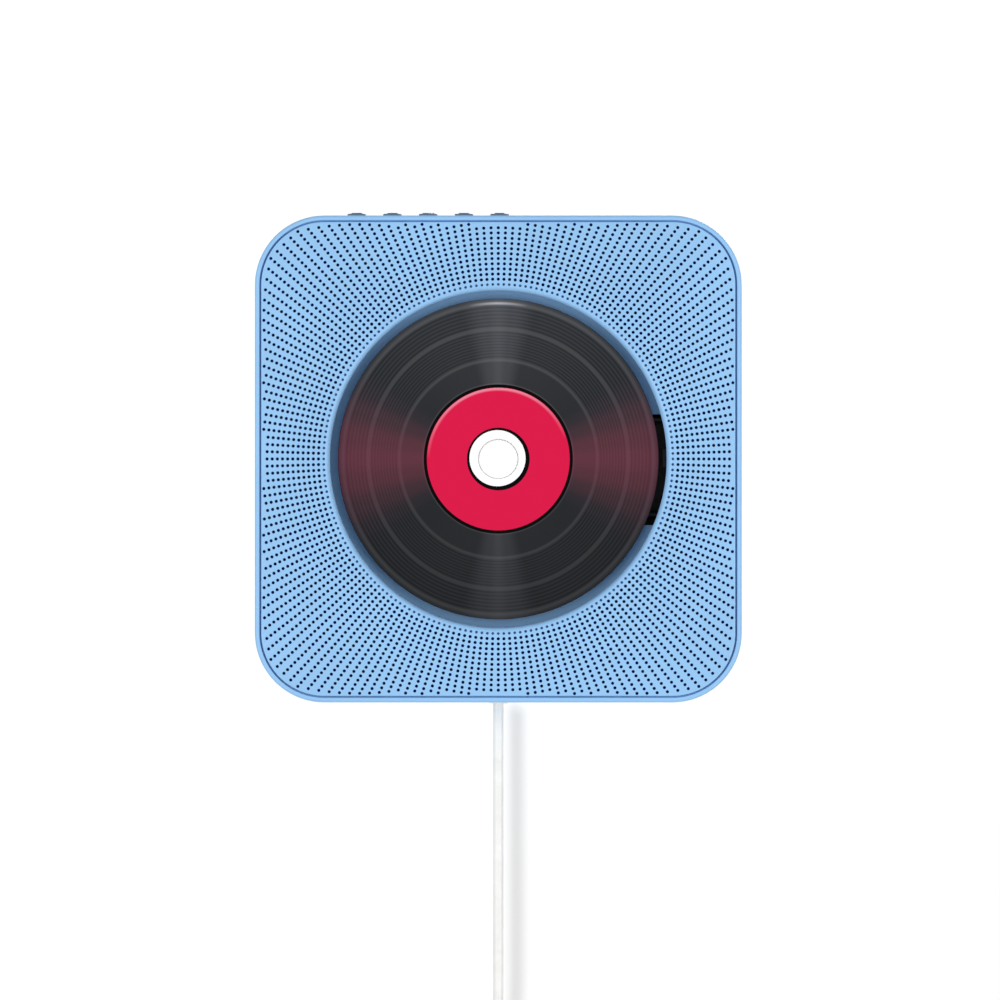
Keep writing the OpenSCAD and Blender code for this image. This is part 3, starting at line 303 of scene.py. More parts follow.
def disc_print_and_painted_light():
    """The disc's printed face, a black record with a red label and concentric bands, with painted light on
    it: four soft beams of painted reflection, painted shade and painted highlights.
    """
    material, tree, shader = new_material("disc_print_and_painted_light")
    _, axes = place(tree)
    x, z = axes["X"], axes["Z"]

    def distance(dx, dz):
        a = maths(tree, "SUBTRACT", x, dx)
        b = maths(tree, "SUBTRACT", z, dz)
        squares = maths(tree, "ADD", maths(tree, "MULTIPLY", a, a), maths(tree, "MULTIPLY", b, b))
        return maths(tree, "SQRT", squares)

    r = distance(0.0, 0.0)
    along = maths(tree, "DIVIDE", r, disc_r)

    def at(radius):
        return radius * mm / disc_r

    # The record's black by direction, with painted reflections: grey beams up and down, maroon ones to the
    # sides
    turn = maths(tree, "ARCTAN2", maths(tree, "ABSOLUTE", x), maths(tree, "ABSOLUTE", z))
    direction = maths(tree, "DIVIDE", turn, math.pi / 2)
    vinyl = ramp(tree, direction, [
        (0.0, rgb(77, 78, 82)), (0.06, rgb(68, 70, 74)), (0.17, rgb(50, 52, 55)), (0.62, rgb(46, 48, 51)),
        (0.70, rgb(54, 50, 55)), (0.79, rgb(73, 54, 61)), (0.9, rgb(96, 57, 67)), (1.0, rgb(106, 59, 72)),
    ], "EASE").outputs[0]

    # Concentric bands and the fine grooves between them, wider apart further out and redder on the maroon
    bands = ramp(tree, along, [
        (at(27.8), grey(0.0)), (at(28.1), grey(0.04)), (at(28.5), grey(0.0)),
        (at(36.2), grey(0.0)), (at(36.9), grey(0.036)), (at(37.3), grey(0.036)), (at(37.8), grey(0.0)),
        (at(47.8), grey(0.0)), (at(48.4), grey(0.042)), (at(49.1), grey(0.019)), (at(49.7), grey(0.0)),
        (at(57.2), grey(0.0)), (at(57.9), grey(0.037)), (at(58.4), grey(0.034)), (at(59.2), grey(0.006)),
    ]).outputs[0]
    grooves = maths(tree, "ADD", spread(tree, r, 36.7 * mm, 48 * mm, 0.0, 10.1),
                    spread(tree, r, 48 * mm, 57.5 * mm, 0.0, 7.0))
    groove = maths(tree, "COSINE", maths(tree, "MULTIPLY", grooves, 2 * math.pi))
    outside = spread(tree, r, 36.5 * mm, 38 * mm, 0.0, 0.009)
    lift = maths(tree, "ADD", maths(tree, "MULTIPLY", groove, outside), bands)
    tint = ramp(tree, direction, [(0.62, grey(1.0)), (0.9, (0.85, 0.46, 0.64, 1.0))]).outputs[0]
    vinyl = blend_colours(tree, 1.0, vinyl, blend_colours(tree, 1.0, tint, lift, "MULTIPLY"), "ADD")
    # Painted light and shade: the record's black darkens towards the bottom and lightens towards the top
    height = spread(tree, z, -disc_r, disc_r, 0.52, 1.1)
    vinyl = blend_colours(tree, 1.0, vinyl, height, "MULTIPLY")

    # A painted highlight: a short bright arc in the outer band, at the top
    glint = ramp(tree, along, [
        (at(57.6), grey(0.0)), (at(58.1), grey(1.0)), (at(58.4), grey(1.0)), (at(58.9), grey(0.0)),
    ]).outputs[0]
    near_top = maths(tree, "MULTIPLY", spread(tree, turn, math.radians(1), math.radians(11), 1.0, 0.0),
                     maths(tree, "GREATER_THAN", z, 0.0))
    vinyl = blend_colours(tree, maths(tree, "MULTIPLY", glint, near_top), vinyl, rgb(172, 173, 178))

    # The label, its dark rings and a painted highlight along its upper edge
    black, red = rgb(6, 4, 6), rgb(219, 28, 73)
    label = ramp(tree, along, [
        (0.0, black), (at(11.6), red), (at(26.65), black), (at(27.7), black[:3] + (0.0,)),
    ], "CONSTANT")
    colour = blend_colours(tree, label.outputs["Alpha"], vinyl, label.outputs["Color"])
    edge = ramp(tree, along, [
        (at(25.4), grey(0.0)), (at(26.1), grey(1.0)), (at(26.5), grey(1.0)), (at(26.7), grey(0.0)),
    ]).outputs[0]
    leaning = maths(tree, "SUBTRACT", z, maths(tree, "MULTIPLY", x, 0.15))
    upward = spread(tree, maths(tree, "DIVIDE", leaning, r), 0.15, 0.95, 0.0, 0.8)
    colour = blend_colours(tree, maths(tree, "MULTIPLY", edge, upward), colour, rgb(240, 150, 172))

    # The white middle lies a little up and to the left, so its dark ring is thicker below: painted shadow of
    # the hole's edge
    middle = maths(tree, "LESS_THAN", distance(-0.3 * mm, 0.3 * mm), 10.5 * mm)
    colour = blend_colours(tree, middle, colour, rgb(254, 254, 254))
    feed(tree, shader.inputs["Base Color"], colour)
    feed(tree, shader.inputs["Normal"], bump(tree, groove, 0.25, 0.02 * mm))
    shader.inputs["Roughness"].default_value = 0.38
    shader.inputs["Specular IOR Level"].default_value = 0.03
    return material


blue = rgb(148, 197, 241)
white = rgb(253, 253, 252)
finishes = {
    "blue_plastic": moulded_plastic("blue_plastic", blue),
    # Painted shade: the buttons' blue is the body's blue darkened, as it looks in shade
    "button_blue": moulded_plastic("button_blue", rgb(102, 130, 156)),
    # Painted shade: the panel's plastic darkened for the well
    "well_blue_painted_shade": moulded_plastic("well_blue_painted_shade", rgb(127, 168, 206), 0.5),
    "white_plastic": moulded_plastic("white_plastic", white, 0.4),
    "white_cord": cord_jacket(),
    "black_plastic": moulded_plastic("black_plastic", rgb(22, 24, 28), 0.5, mottle=0.15),
    "black_rubber": rubber("black_rubber", rgb(34, 34, 36)),
    "paper_cone": paper_cone(),
    "grille_cloth": woven_cloth(),
    "record_face": disc_print_and_painted_light(),
    "steel": brushed_metal("steel", rgb(196, 198, 202), 0.34, (1, 1, 0.08)),
    "dark_steel": brushed_metal("dark_steel", rgb(52, 54, 58), 0.5, (0.08, 1, 1)),
    "ferrite": moulded_plastic("ferrite", rgb(46, 46, 50), 0.6, mottle=0.2),
    "circuit_board": circuit_board(),
    "gear_plastic": moulded_plastic("gear_plastic", rgb(232, 228, 216), 0.45),
    "lens_glass": lens_glass(),
    "flat_cable": moulded_plastic("flat_cable", rgb(228, 228, 224), 0.4),
    "wire_red": moulded_plastic("wire_red", rgb(196, 32, 34), 0.4),
}

# Each part's own finish. The well's blue is painted shade: the panel's blue made darker to stand in for the
# shade down in the well.
for part in record["subparts"]:
    materials = frame["nodes"][part["node"]].data.materials
    finish = "well_blue_painted_shade" if part["node"] == "disc_well" else part["material_slot"]
    materials.clear()
    materials.append(finishes[finish])


# ---------------------------------------------------------------- mesh helpers

def piece_from(name, points, faces, finish):
    mesh = bpy.data.meshes.new(name)
    mesh.from_pydata(points, [], faces)
    mesh.validate()
    mesh.materials.append(finish)
    piece = bpy.data.objects.new(name, mesh)
    bpy.context.scene.collection.objects.link(piece)
    smooth(mesh)
    return piece


def smooth(mesh, sharp=35):
    mesh.polygons.foreach_set("use_smooth", [True] * len(mesh.polygons))
    mesh.set_sharp_from_angle(angle=math.radians(sharp))


def set_outward(mesh):
    """Turns every face of a closed mesh outwards."""
    work = bmesh.new()
    work.from_mesh(mesh)
    bmesh.ops.recalc_face_normals(work, faces=work.faces)
    work.to_mesh(mesh)
    work.free()


def skin(rings, count, first=0, closed=False):
    """The faces between rings of points numbered from first; closed joins the last ring to the first."""
    faces = []
    for i in range(rings if closed else rings - 1):
        here, there = first + i * count, first + (i + 1) % rings * count
        for k in range(count):
            after = (k + 1) % count
            faces.append([here + k, here + after, there + after, there + k])
    return faces


def capped_skin(rings, count, first=0):
    """The faces between rings of points, and one over each end."""
    last = first + (rings - 1) * count
    ends = [[first + k for k in reversed(range(count))], [last + k for k in range(count)]]
    return ends + skin(rings, count, first)


def turned(name, profile, finish, steps):
    """A closed profile of (radius, depth), anticlockwise, turned about the disc's axis."""
    turns = [2 * math.pi * k / steps for k in range(steps)]
    points = [(radius * math.cos(a), -depth, radius * math.sin(a))
              for radius, depth in profile for a in turns]
    return piece_from(name, points, skin(len(profile), steps, closed=True), finish)


def lofted(name, rings, finish):
    """A solid through closed rings of points."""
    points = [p for ring in rings for p in ring]
    return piece_from(name, points, capped_skin(len(rings), len(rings[0])), finish)


def arc(middle, radius, start, end, steps, fullness=2.0):
    """Points round an arc, in degrees; a fullness over 2 swells it towards its square."""
    points = []
    for i in range(steps + 1):
        a = math.radians(start + (end - start) * i / steps)
        c, s = math.cos(a), math.sin(a)
        reach = radius / (abs(c) ** fullness + abs(s) ** fullness) ** (1 / fullness)
        points.append((middle[0] + reach * c, middle[1] + reach * s))
    return points


# ---------------------------------------------------------------- camera

def aim_camera():
    """A long lens square to the wall, with the photograph's scale and framing."""
    camera = bpy.data.cameras.new("camera")
    camera.lens = 500
    camera.sensor_width = 36
    width = photo_side / photo_scale * mm
    distance = width * camera.lens / camera.sensor_width
    seat = bpy.data.objects.new("camera", camera)
    bpy.context.scene.collection.objects.link(seat)
    middle = photo_side / 2
    seat.location = (
        (middle - axis_pixel[0]) / photo_scale * mm,
        disc_low.y - distance,
        (axis_pixel[1] - middle) / photo_scale * mm,
    )
    seat.rotation_euler = (math.pi / 2, 0, 0)
    bpy.context.scene.camera = seat


aim_camera()


# ---------------------------------------------------------------- cord

def smooth_route(points, steps):
    """A smooth line through the points."""
    padded = [points[0]] + points + [points[-1]]
    line = []
    for a, b, c, d in zip(padded, padded[1:], padded[2:], padded[3:]):
        for i in range(steps):
            t = i / steps
            line.append(0.5 * (2 * b + (c - a) * t + (2 * a - 5 * b + 4 * c - d) * t * t
                               + (3 * b - a - 3 * c + d) * t ** 3))
    return line + [points[-1]]


cord_route = [Vector(p) for p in [
    (0, -0.0215, -0.083), (0, -0.0215, -0.092), (0, -0.0215, -0.102), (0, -0.0215, -0.112),
    (0, -0.0215, -0.122), (0, -0.0215, -0.132), (0, -0.0215, -0.142), (0, -0.0215, -0.152),
    (0, -0.0215, -0.162), (0, -0.0215, -0.172), (0, -0.0214, -0.182), (0, -0.0207, -0.191),
    (0, -0.0194, -0.199), (0, -0.0176, -0.207), (0.0012, -0.0162, -0.2138),
    (0.0047, -0.0153, -0.2199), (0.010, -0.015, -0.2243),
]]
coil_turns = coil_layers * layer_turns + join_angle / (2 * math.pi)
coil_heading = Vector((math.sin(join_angle), 0, -math.cos(join_angle)))
coil_middle = (cord_route[-1] + cord_d * coil_heading
               - coil_r * Vector((math.cos(join_angle), 0, math.sin(join_angle))))


def clamp(value):
    return min(1.0, max(0.0, value))


def coil_at(t):
    """The middle of the coiled cord after t turns.

    It spirals in and out, a layer further from the wall each time.
    """
    climbed = sum(clamp((t - k * layer_turns + 0.25) / 0.5) for k in range(1, coil_layers))
    gone_in = layer_turns - abs(t % (2 * layer_turns) - layer_turns)
    angle = join_angle - 2 * math.pi * t
    radius = coil_r - coil_pitch * gone_in
    out = coil_pitch * climbed + plug_rise * clamp((t - coil_turns + 0.25) / 0.25)
    return coil_middle + Vector((radius * math.cos(angle), -out, radius * math.sin(angle)))


def power_cord():
    line = smooth_route(cord_route, 4)
    line += [coil_at(i / rings_a_turn) for i in range(int(rings_a_turn * coil_turns) + 1)]
    line.append(line[-1] - Vector((0, 0, cord_d)))
    curve = bpy.data.curves.new("power_cord", "CURVE")
    curve.dimensions = "3D"
    curve.bevel_depth = cord_d / 2
    curve.bevel_resolution = 6
    curve.use_fill_caps = True
    spline = curve.splines.new("POLY")
    spline.points.add(len(line) - 1)
    for point, spot in zip(spline.points, line):
        point.co = (*spot, 1)
    curve.materials.append(finishes["white_cord"])
    cord = bpy.data.objects.new("power_cord", curve)
    bpy.context.scene.collection.objects.link(cord)
    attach(cord, "pull")
    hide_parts("cord", "cord_coil")
    return cord


cord = power_cord()


# ---------------------------------------------------------------- geometry trees

def new_geometry_tree(name, sizes):
    """A Geometry Nodes tree with a named input for each size, with its inputs' sockets and its result's."""
    tree = bpy.data.node_groups.new(name, "GeometryNodeTree")
    tree.interface.new_socket("Geometry", in_out="INPUT", socket_type="NodeSocketGeometry")
    tree.interface.new_socket("Geometry", in_out="OUTPUT", socket_type="NodeSocketGeometry")
    kinds = {int: "NodeSocketInt", float: "NodeSocketFloat"}
    for label, value in sizes.items():
        kind = kinds.get(type(value), "NodeSocketMaterial")
        tree.interface.new_socket(label, in_out="INPUT", socket_type=kind)
    given = tree.nodes.new("NodeGroupInput")
    result = tree.nodes.new("NodeGroupOutput")
    return tree, given.outputs, result.inputs["Geometry"]


def vector(tree, x=0.0, y=0.0, z=0.0):
    return put(tree, "ShaderNodeCombineXYZ", {"X": x, "Y": y, "Z": z}).outputs[0]


def moved(tree, shape, x=0.0, z=0.0):
    inputs = {"Geometry": shape, "Translation": vector(tree, x, 0.0, z)}
    return put(tree, "GeometryNodeTransform", inputs).outputs[0]


def tipped(tree, shape, angle):
    """The shape turned about X."""
    return put(tree, "GeometryNodeTransform", {"Geometry": shape, "Rotation": (angle, 0, 0)}).outputs[0]


def cylinder(tree, sides, radius, depth):
    inputs = {"Vertices": sides, "Radius": radius, "Depth": depth}
    return put(tree, "GeometryNodeMeshCylinder", inputs).outputs["Mesh"]


def box(tree, x, y, z):
    return put(tree, "GeometryNodeMeshCube", {"Size": vector(tree, x, y, z)}).outputs["Mesh"]


def boolean(tree, operation, shapes, body=None):
    """Joins the shapes, or cuts them from a body."""
    node = put(tree, "GeometryNodeMeshBoolean", operation=operation, solver="MANIFOLD")
    if body is not None:
        tree.links.new(body, node.inputs["Mesh 1"])
    for shape in shapes:
        tree.links.new(shape, node.inputs["Mesh 2"])
    return node.outputs["Mesh"]


def copies(tree, points, shape, scale=(1, 1, 1)):
    """A copy of the shape at each point."""
    inputs = {"Points": points, "Instance": shape, "Scale": scale}
    placed = put(tree, "GeometryNodeInstanceOnPoints", inputs).outputs[0]
    return put(tree, "GeometryNodeRealizeInstances", {"Geometry": placed}).outputs[0]


def end_tree(tree, given, result, shape):
    """Ends a tree with the shape, made plain and given its finish."""
    plain = put(tree, "GeometryNodeRealizeInstances", {"Geometry": shape}).outputs[0]
    finished = put(tree, "GeometryNodeSetMaterial", {"Geometry": plain, "Material": given["Finish"]})
    tree.links.new(finished.outputs[0], result)


def end_with_copies(tree, given, result, shape):
    """Ends a tree with a copy of the shape at each point of the mesh that it is given."""
    points = put(tree, "GeometryNodeMeshToPoints", {"Mesh": given["Geometry"]}).outputs[0]
    end_tree(tree, given, result, copies(tree, points, shape))


def run_geometry(piece, tree, sizes):
    """Runs a tree on a piece and keeps the result as its plain mesh."""
    modifier = piece.modifiers.new(tree.name, "NODES")
    modifier.node_group = tree
    for item in tree.interface.items_tree:
        if item.in_out == "INPUT" and item.name in sizes:
            modifier[item.identifier] = sizes[item.name]
    bpy.context.view_layer.update()
    ready = piece.evaluated_get(bpy.context.evaluated_depsgraph_get())
    mesh = bpy.data.meshes.new_from_object(ready)
    piece.modifiers.clear()
    piece.data = mesh


# ---------------------------------------------------------------- front panel

def outline_at(angle, inset=0.0):
    """The point of the panel's rounded square in a direction from its middle, inset from its edge."""
    c, s = math.cos(angle), math.sin(angle)
    edge = panel_half - inset
    reach = edge / max(abs(c), abs(s))
    if min(abs(c), abs(s)) * reach > panel_corner_middle:
        toward = (abs(c) + abs(s)) * panel_corner_middle
        corner_r = edge - panel_corner_middle
        reach = toward + math.sqrt(toward ** 2 - 2 * panel_corner_middle ** 2 + corner_r ** 2)
    return reach * c, reach * s


def panel_blank():
    """The panel without its holes: one wedge a ray, a rolled edge inside and a small bevel outside."""
    roll_middle = (well_r + roll_r, -front_y - roll_r)
    bevel = 0.35 * mm
    back = -front_y - panel_t
    over = [(well_r, -well_rim_y)] + arc(roll_middle, roll_r, 180, 90, 16, 2.8)
    under = arc(roll_middle, roll_r - panel_t, 90, 180, 6) + [(well_r + panel_t, -well_rim_y)]
    levels = [(bevel, -front_y), (0.3 * bevel, -front_y - 0.3 * bevel), (0.0, -front_y - bevel), (0.0, back)]
    points, faces = [], []

    def add(x, z, depth):
        points.append((x, -depth, z))
        return len(points) - 1

    step = 2 * math.pi / ray_count
    starts = [(i + 0.5) * step for i in range(ray_count)]
    inner = [[add(r * math.cos(a), r * math.sin(a), d) for r, d in over + under] for a in starts]
    outer, first_outer = [], []
    for a in starts:
        first_outer.append(len(outer))
        diagonal = (a + step / 2) % (math.pi / 2)
        parts = 3 if abs(diagonal - math.pi / 4) < math.radians(10) else 1
        for p in range(parts):
            turn = a + step * p / parts
            outer.append([add(*outline_at(turn, inset), depth) for inset, depth in levels])
    first_outer.append(len(outer))
    for i in range(ray_count):
        here, there = inner[i], inner[(i + 1) % ray_count]
        for j in range(len(here) - 1):
            if j != len(over) - 1:
                faces.append([here[j], here[j + 1], there[j + 1], there[j]])
        faces.append([here[-1], here[0], there[0], there[-1]])
        chain = [outer[k % len(outer)] for k in range(first_outer[i], first_outer[i + 1] + 1)]
        top, bottom = len(over) - 1, len(over)
        faces.append([here[top]] + [column[0] for column in chain] + [there[top]])
        faces.append([there[bottom]] + [column[-1] for column in reversed(chain)] + [here[bottom]])
        for near, far in zip(chain, chain[1:]):
            for j in range(len(levels) - 1):
                faces.append([near[j], near[j + 1], far[j + 1], far[j]])
    return piece_from("perforated_front", points, faces, finishes["blue_plastic"])


def perforations():
    """Drills the holes and the lip's ring of shallow ones.

    The holes lie on rays and rings, inside a field with rounded corners.
    """
    hole_sides, lip_hole_sides = 9, 8
    sizes = {
        "Hole Diameter": hole_d, "Ring Pitch": ring_pitch, "First Ring Radius": first_ring_r,
        "Rays": ray_count, "Rings": ring_count, "Field Half Width": field_half,
        "Corner Middle": panel_corner_middle, "Lip Ring Radius": lip_ring_r,
        "Lip Hole Diameter": lip_hole_d, "Front": front_y, "Depth": panel_t + 1 * mm,
        "Lip Depth": 2 * mm, "Finish": finishes["blue_plastic"],
    }
    tree, given, result = new_geometry_tree("perforations", sizes)
    index = put(tree, "GeometryNodeInputIndex").outputs[0]
    ring = maths(tree, "FLOOR", maths(tree, "DIVIDE", index, given["Rays"]))
    turn = maths(tree, "DIVIDE", maths(tree, "MULTIPLY", index, 2 * math.pi), given["Rays"])
    ring_r = maths(tree, "MULTIPLY_ADD", ring, given["Ring Pitch"], given["First Ring Radius"])

    def spots(count, radius):
        x = maths(tree, "MULTIPLY", radius, maths(tree, "COSINE", turn))
        z = maths(tree, "MULTIPLY", radius, maths(tree, "SINE", turn))
        inputs = {"Count": count, "Position": vector(tree, x, given["Front"], z)}
        return x, z, put(tree, "GeometryNodePoints", inputs).outputs[0]

    def past_corner_squared(value):
        past = maths(tree, "SUBTRACT", maths(tree, "ABSOLUTE", value), given["Corner Middle"])
        return maths(tree, "POWER", maths(tree, "MAXIMUM", past, 0.0), 2.0)

    def drill(cloud, diameter, depth, sides):
        radius, length = maths(tree, "MULTIPLY", diameter, 0.5), maths(tree, "MULTIPLY", depth, 2.0)
        return copies(tree, cloud, tipped(tree, cylinder(tree, sides, radius, length), math.pi / 2))

    x, z, field = spots(maths(tree, "MULTIPLY", given["Rays"], given["Rings"]), ring_r)
    beyond = maths(tree, "SQRT", maths(tree, "ADD", past_corner_squared(x), past_corner_squared(z)))
    room = maths(tree, "SUBTRACT", given["Field Half Width"], given["Corner Middle"])
    outside = maths(tree, "GREATER_THAN", beyond, room)
    field = put(tree, "GeometryNodeDeleteGeometry", {"Geometry": field, "Selection": outside}).outputs[0]
    _, _, lip = spots(given["Rays"], given["Lip Ring Radius"])
    bits = put(tree, "GeometryNodeJoinGeometry")
    tree.links.new(drill(field, given["Hole Diameter"], given["Depth"], hole_sides), bits.inputs[0])
    tree.links.new(drill(lip, given["Lip Hole Diameter"], given["Lip Depth"], lip_hole_sides), bits.inputs[0])
    end_tree(tree, given, result, boolean(tree, "DIFFERENCE", [bits.outputs[0]], given["Geometry"]))
    return tree, sizes


def perforated_front():
    panel = panel_blank()
    run_geometry(panel, *perforations())
    smooth(panel.data, 30)
    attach(panel, "player")
    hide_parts("front_panel")


perforated_front()


# ---------------------------------------------------------------- disc

def printed_disc():
    back, front = -disc_high.y, -disc_low.y
    seat = back + 0.15 * mm
    edge, hole_edge = 0.25 * mm, 0.06 * mm
    ring_in, ring_out = 16.4 * mm, 17.2 * mm
    profile = [
        (disc_hole_r, front - hole_edge), (disc_hole_r, seat + hole_edge), (disc_hole_r + hole_edge, seat),
        (ring_in, seat), (ring_in + edge, back), (ring_out - edge, back), (ring_out, seat),
        (disc_r - edge, seat), (disc_r, seat + edge), (disc_r, front - edge), (disc_r - edge, front),
        (disc_hole_r + hole_edge, front),
    ]
    disc = turned("printed_disc", profile, finishes["record_face"], 256)
    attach(disc, "disc")
    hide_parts("disc")


printed_disc()


# ---------------------------------------------------------------- speaker cloth

def speaker_cloth():
    """One sheet behind the panel's holes, glued at both edges and drawn back a little between them."""
    low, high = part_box("grille_cloth")
    edge = high.x - 0.05 * mm
    inner = well_r + roll_r + 0.25 * mm
    front, thickness, sag = -low.y - 0.02 * mm, 0.25 * mm, 0.1 * mm
    steps, turns = 6, 240
    points = []
    for k in range(turns):
        a = 2 * math.pi * k / turns
        outer = math.hypot(*outline_at(a, panel_half - edge))
        for side in (0.0, thickness):
            for i in range(steps + 1):
                t = i / steps
                r = inner + (outer - inner) * t
                depth = front - sag * math.sin(math.pi * t) - side
                points.append((r * math.cos(a), -depth, r * math.sin(a)))
    row = 2 * (steps + 1)
    faces = []
    for k in range(turns):
        here, there = k * row, (k + 1) % turns * row
        for i in range(steps):
            faces.append([here + i, here + i + 1, there + i + 1, there + i])
            back = steps + 1 + i
            faces.append([here + back + 1, here + back, there + back, there + back + 1])
        faces.append([here + steps, here + row - 1, there + row - 1, there + steps])
        faces.append([here + steps + 1, here, there, there + steps + 1])
    cloth = piece_from("speaker_cloth", points, faces, finishes["grille_cloth"])
    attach(cloth, "player")
    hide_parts("grille_cloth")


speaker_cloth()


# ---------------------------------------------------------------- screws

def cross_head_screws():
    """A chamfered pan head with a cross recess, and its shank, at each point; heads face the wall."""
    sides = 40
    sizes = {
        "Head Radius": screw_head_r, "Head Height": 1.1 * mm, "Chamfer": 0.3 * mm,
        "Shank Radius": 1.3 * mm, "Length": 10 * mm, "Recess Length": 3.2 * mm,
        "Recess Width": 0.7 * mm, "Recess Depth": 0.7 * mm, "Finish": finishes["steel"],
    }
    tree, given, result = new_geometry_tree("cross_head_screws", sizes)
    flat = maths(tree, "SUBTRACT", given["Head Height"], given["Chamfer"])
    head = moved(tree, cylinder(tree, sides, given["Head Radius"], flat),
                 z=maths(tree, "SUBTRACT", maths(tree, "MULTIPLY", flat, -0.5), given["Chamfer"]))
    cone = put(tree, "GeometryNodeMeshCone", {
        "Vertices": sides, "Radius Top": maths(tree, "SUBTRACT", given["Head Radius"], given["Chamfer"]),
        "Radius Bottom": given["Head Radius"], "Depth": given["Chamfer"],
    }).outputs["Mesh"]
    cone = moved(tree, cone, z=maths(tree, "MULTIPLY", given["Chamfer"], -1.0))
    shank = moved(tree, cylinder(tree, sides, given["Shank Radius"], given["Length"]),
                  z=maths(tree, "MULTIPLY", maths(tree, "ADD", given["Length"], given["Head Height"]), -0.5))
    long, wide = given["Recess Length"], given["Recess Width"]
    deep = maths(tree, "MULTIPLY", given["Recess Depth"], 2.0)
    cross = [box(tree, wide, long, deep), box(tree, long, wide, deep)]
    screw = boolean(tree, "DIFFERENCE", cross, boolean(tree, "UNION", [head, cone, shank]))
    end_with_copies(tree, given, result, tipped(tree, screw, -math.pi / 2))
    return tree, sizes


def cover_screws():
    """The four screws that hold the back cover."""
    low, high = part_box("housing_screws")
    columns = low.x + screw_head_r, high.x - screw_head_r
    rows = low.z + screw_head_r, high.z - screw_head_r
    places = [(x, high.y, z) for x in columns for z in rows]
    screws = piece_from("cover_screws", places, [], finishes["steel"])
    run_geometry(screws, *cross_head_screws())
    smooth(screws.data, 30)
    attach(screws, "player")
    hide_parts("housing_screws")


cover_screws()


# ---------------------------------------------------------------- cord's plug and tie

def rounded_section(width, thickness, radius, steps=5):
    """A rounded rectangle about the origin, anticlockwise."""
    w, t = width / 2 - radius, thickness / 2 - radius
    corners = [((w, t), 0), ((-w, t), 90), ((-w, -t), 180), ((w, -t), 270)]
    return [p for middle, start in corners for p in arc(middle, radius, start, start + 90, steps)]


def ribbed_sleeve():
    """Rings along a short sleeve, each a little narrower than the one before."""
    sides = 40
    sizes = {
        "Ribs": 4, "Pitch": 1.1 * mm, "Rib Radius": 3.2 * mm, "Taper": 0.14 * mm, "Rib Width": 0.6 * mm,
        "Sleeve Radius": 2.5 * mm, "Finish": finishes["white_cord"],
    }
    tree, given, result = new_geometry_tree("ribbed_sleeve", sizes)
    index = put(tree, "GeometryNodeInputIndex").outputs[0]
    up = vector(tree, z=maths(tree, "MULTIPLY", index, given["Pitch"]))
    line = put(tree, "GeometryNodePoints", {"Count": given["Ribs"], "Position": up}).outputs[0]
    wide = maths(tree, "SUBTRACT", given["Rib Radius"], maths(tree, "MULTIPLY", index, given["Taper"]))
    ribs = copies(tree, line, cylinder(tree, sides, 1.0, given["Rib Width"]), vector(tree, wide, wide, 1.0))
    length = maths(tree, "MULTIPLY", given["Ribs"], given["Pitch"])
    lift = maths(tree, "MULTIPLY", maths(tree, "SUBTRACT", length, given["Pitch"]), 0.5)
    sleeve = moved(tree, cylinder(tree, sides, given["Sleeve Radius"], length), z=lift)
    end_with_copies(tree, given, result, boolean(tree, "UNION", [ribs, sleeve]))
    return tree, sizes


def plug_shell_tree():
    """A folded sheet-metal sleeve, open at its ends, with two latch windows in each broad side."""
    sizes = {
        "Width": 12 * mm, "Thickness": 4.5 * mm, "Length": 13 * mm, "Sheet": 0.3 * mm,
        "Window Width": 2.5 * mm, "Window Height": 2.2 * mm, "Window Spread": 5.2 * mm,
        "Window Rise": 0.6 * mm, "Finish": finishes["steel"],
    }
    tree, given, result = new_geometry_tree("plug_shell", sizes)
    double = maths(tree, "MULTIPLY", given["Sheet"], 2.0)
    outer = box(tree, given["Width"], given["Thickness"], given["Length"])
    inner = box(tree, maths(tree, "SUBTRACT", given["Width"], double),
                maths(tree, "SUBTRACT", given["Thickness"], double),
                maths(tree, "MULTIPLY", given["Length"], 1.1))
    window = box(tree, given["Window Width"], maths(tree, "MULTIPLY", given["Thickness"], 2.0),
                 given["Window Height"])
    asides = [maths(tree, "MULTIPLY", given["Window Spread"], share) for share in (0.5, -0.5)]
    windows = [moved(tree, window, aside, given["Window Rise"]) for aside in asides]
    end_with_copies(tree, given, result, boolean(tree, "DIFFERENCE", [inner] + windows, outer))
    return tree, sizes


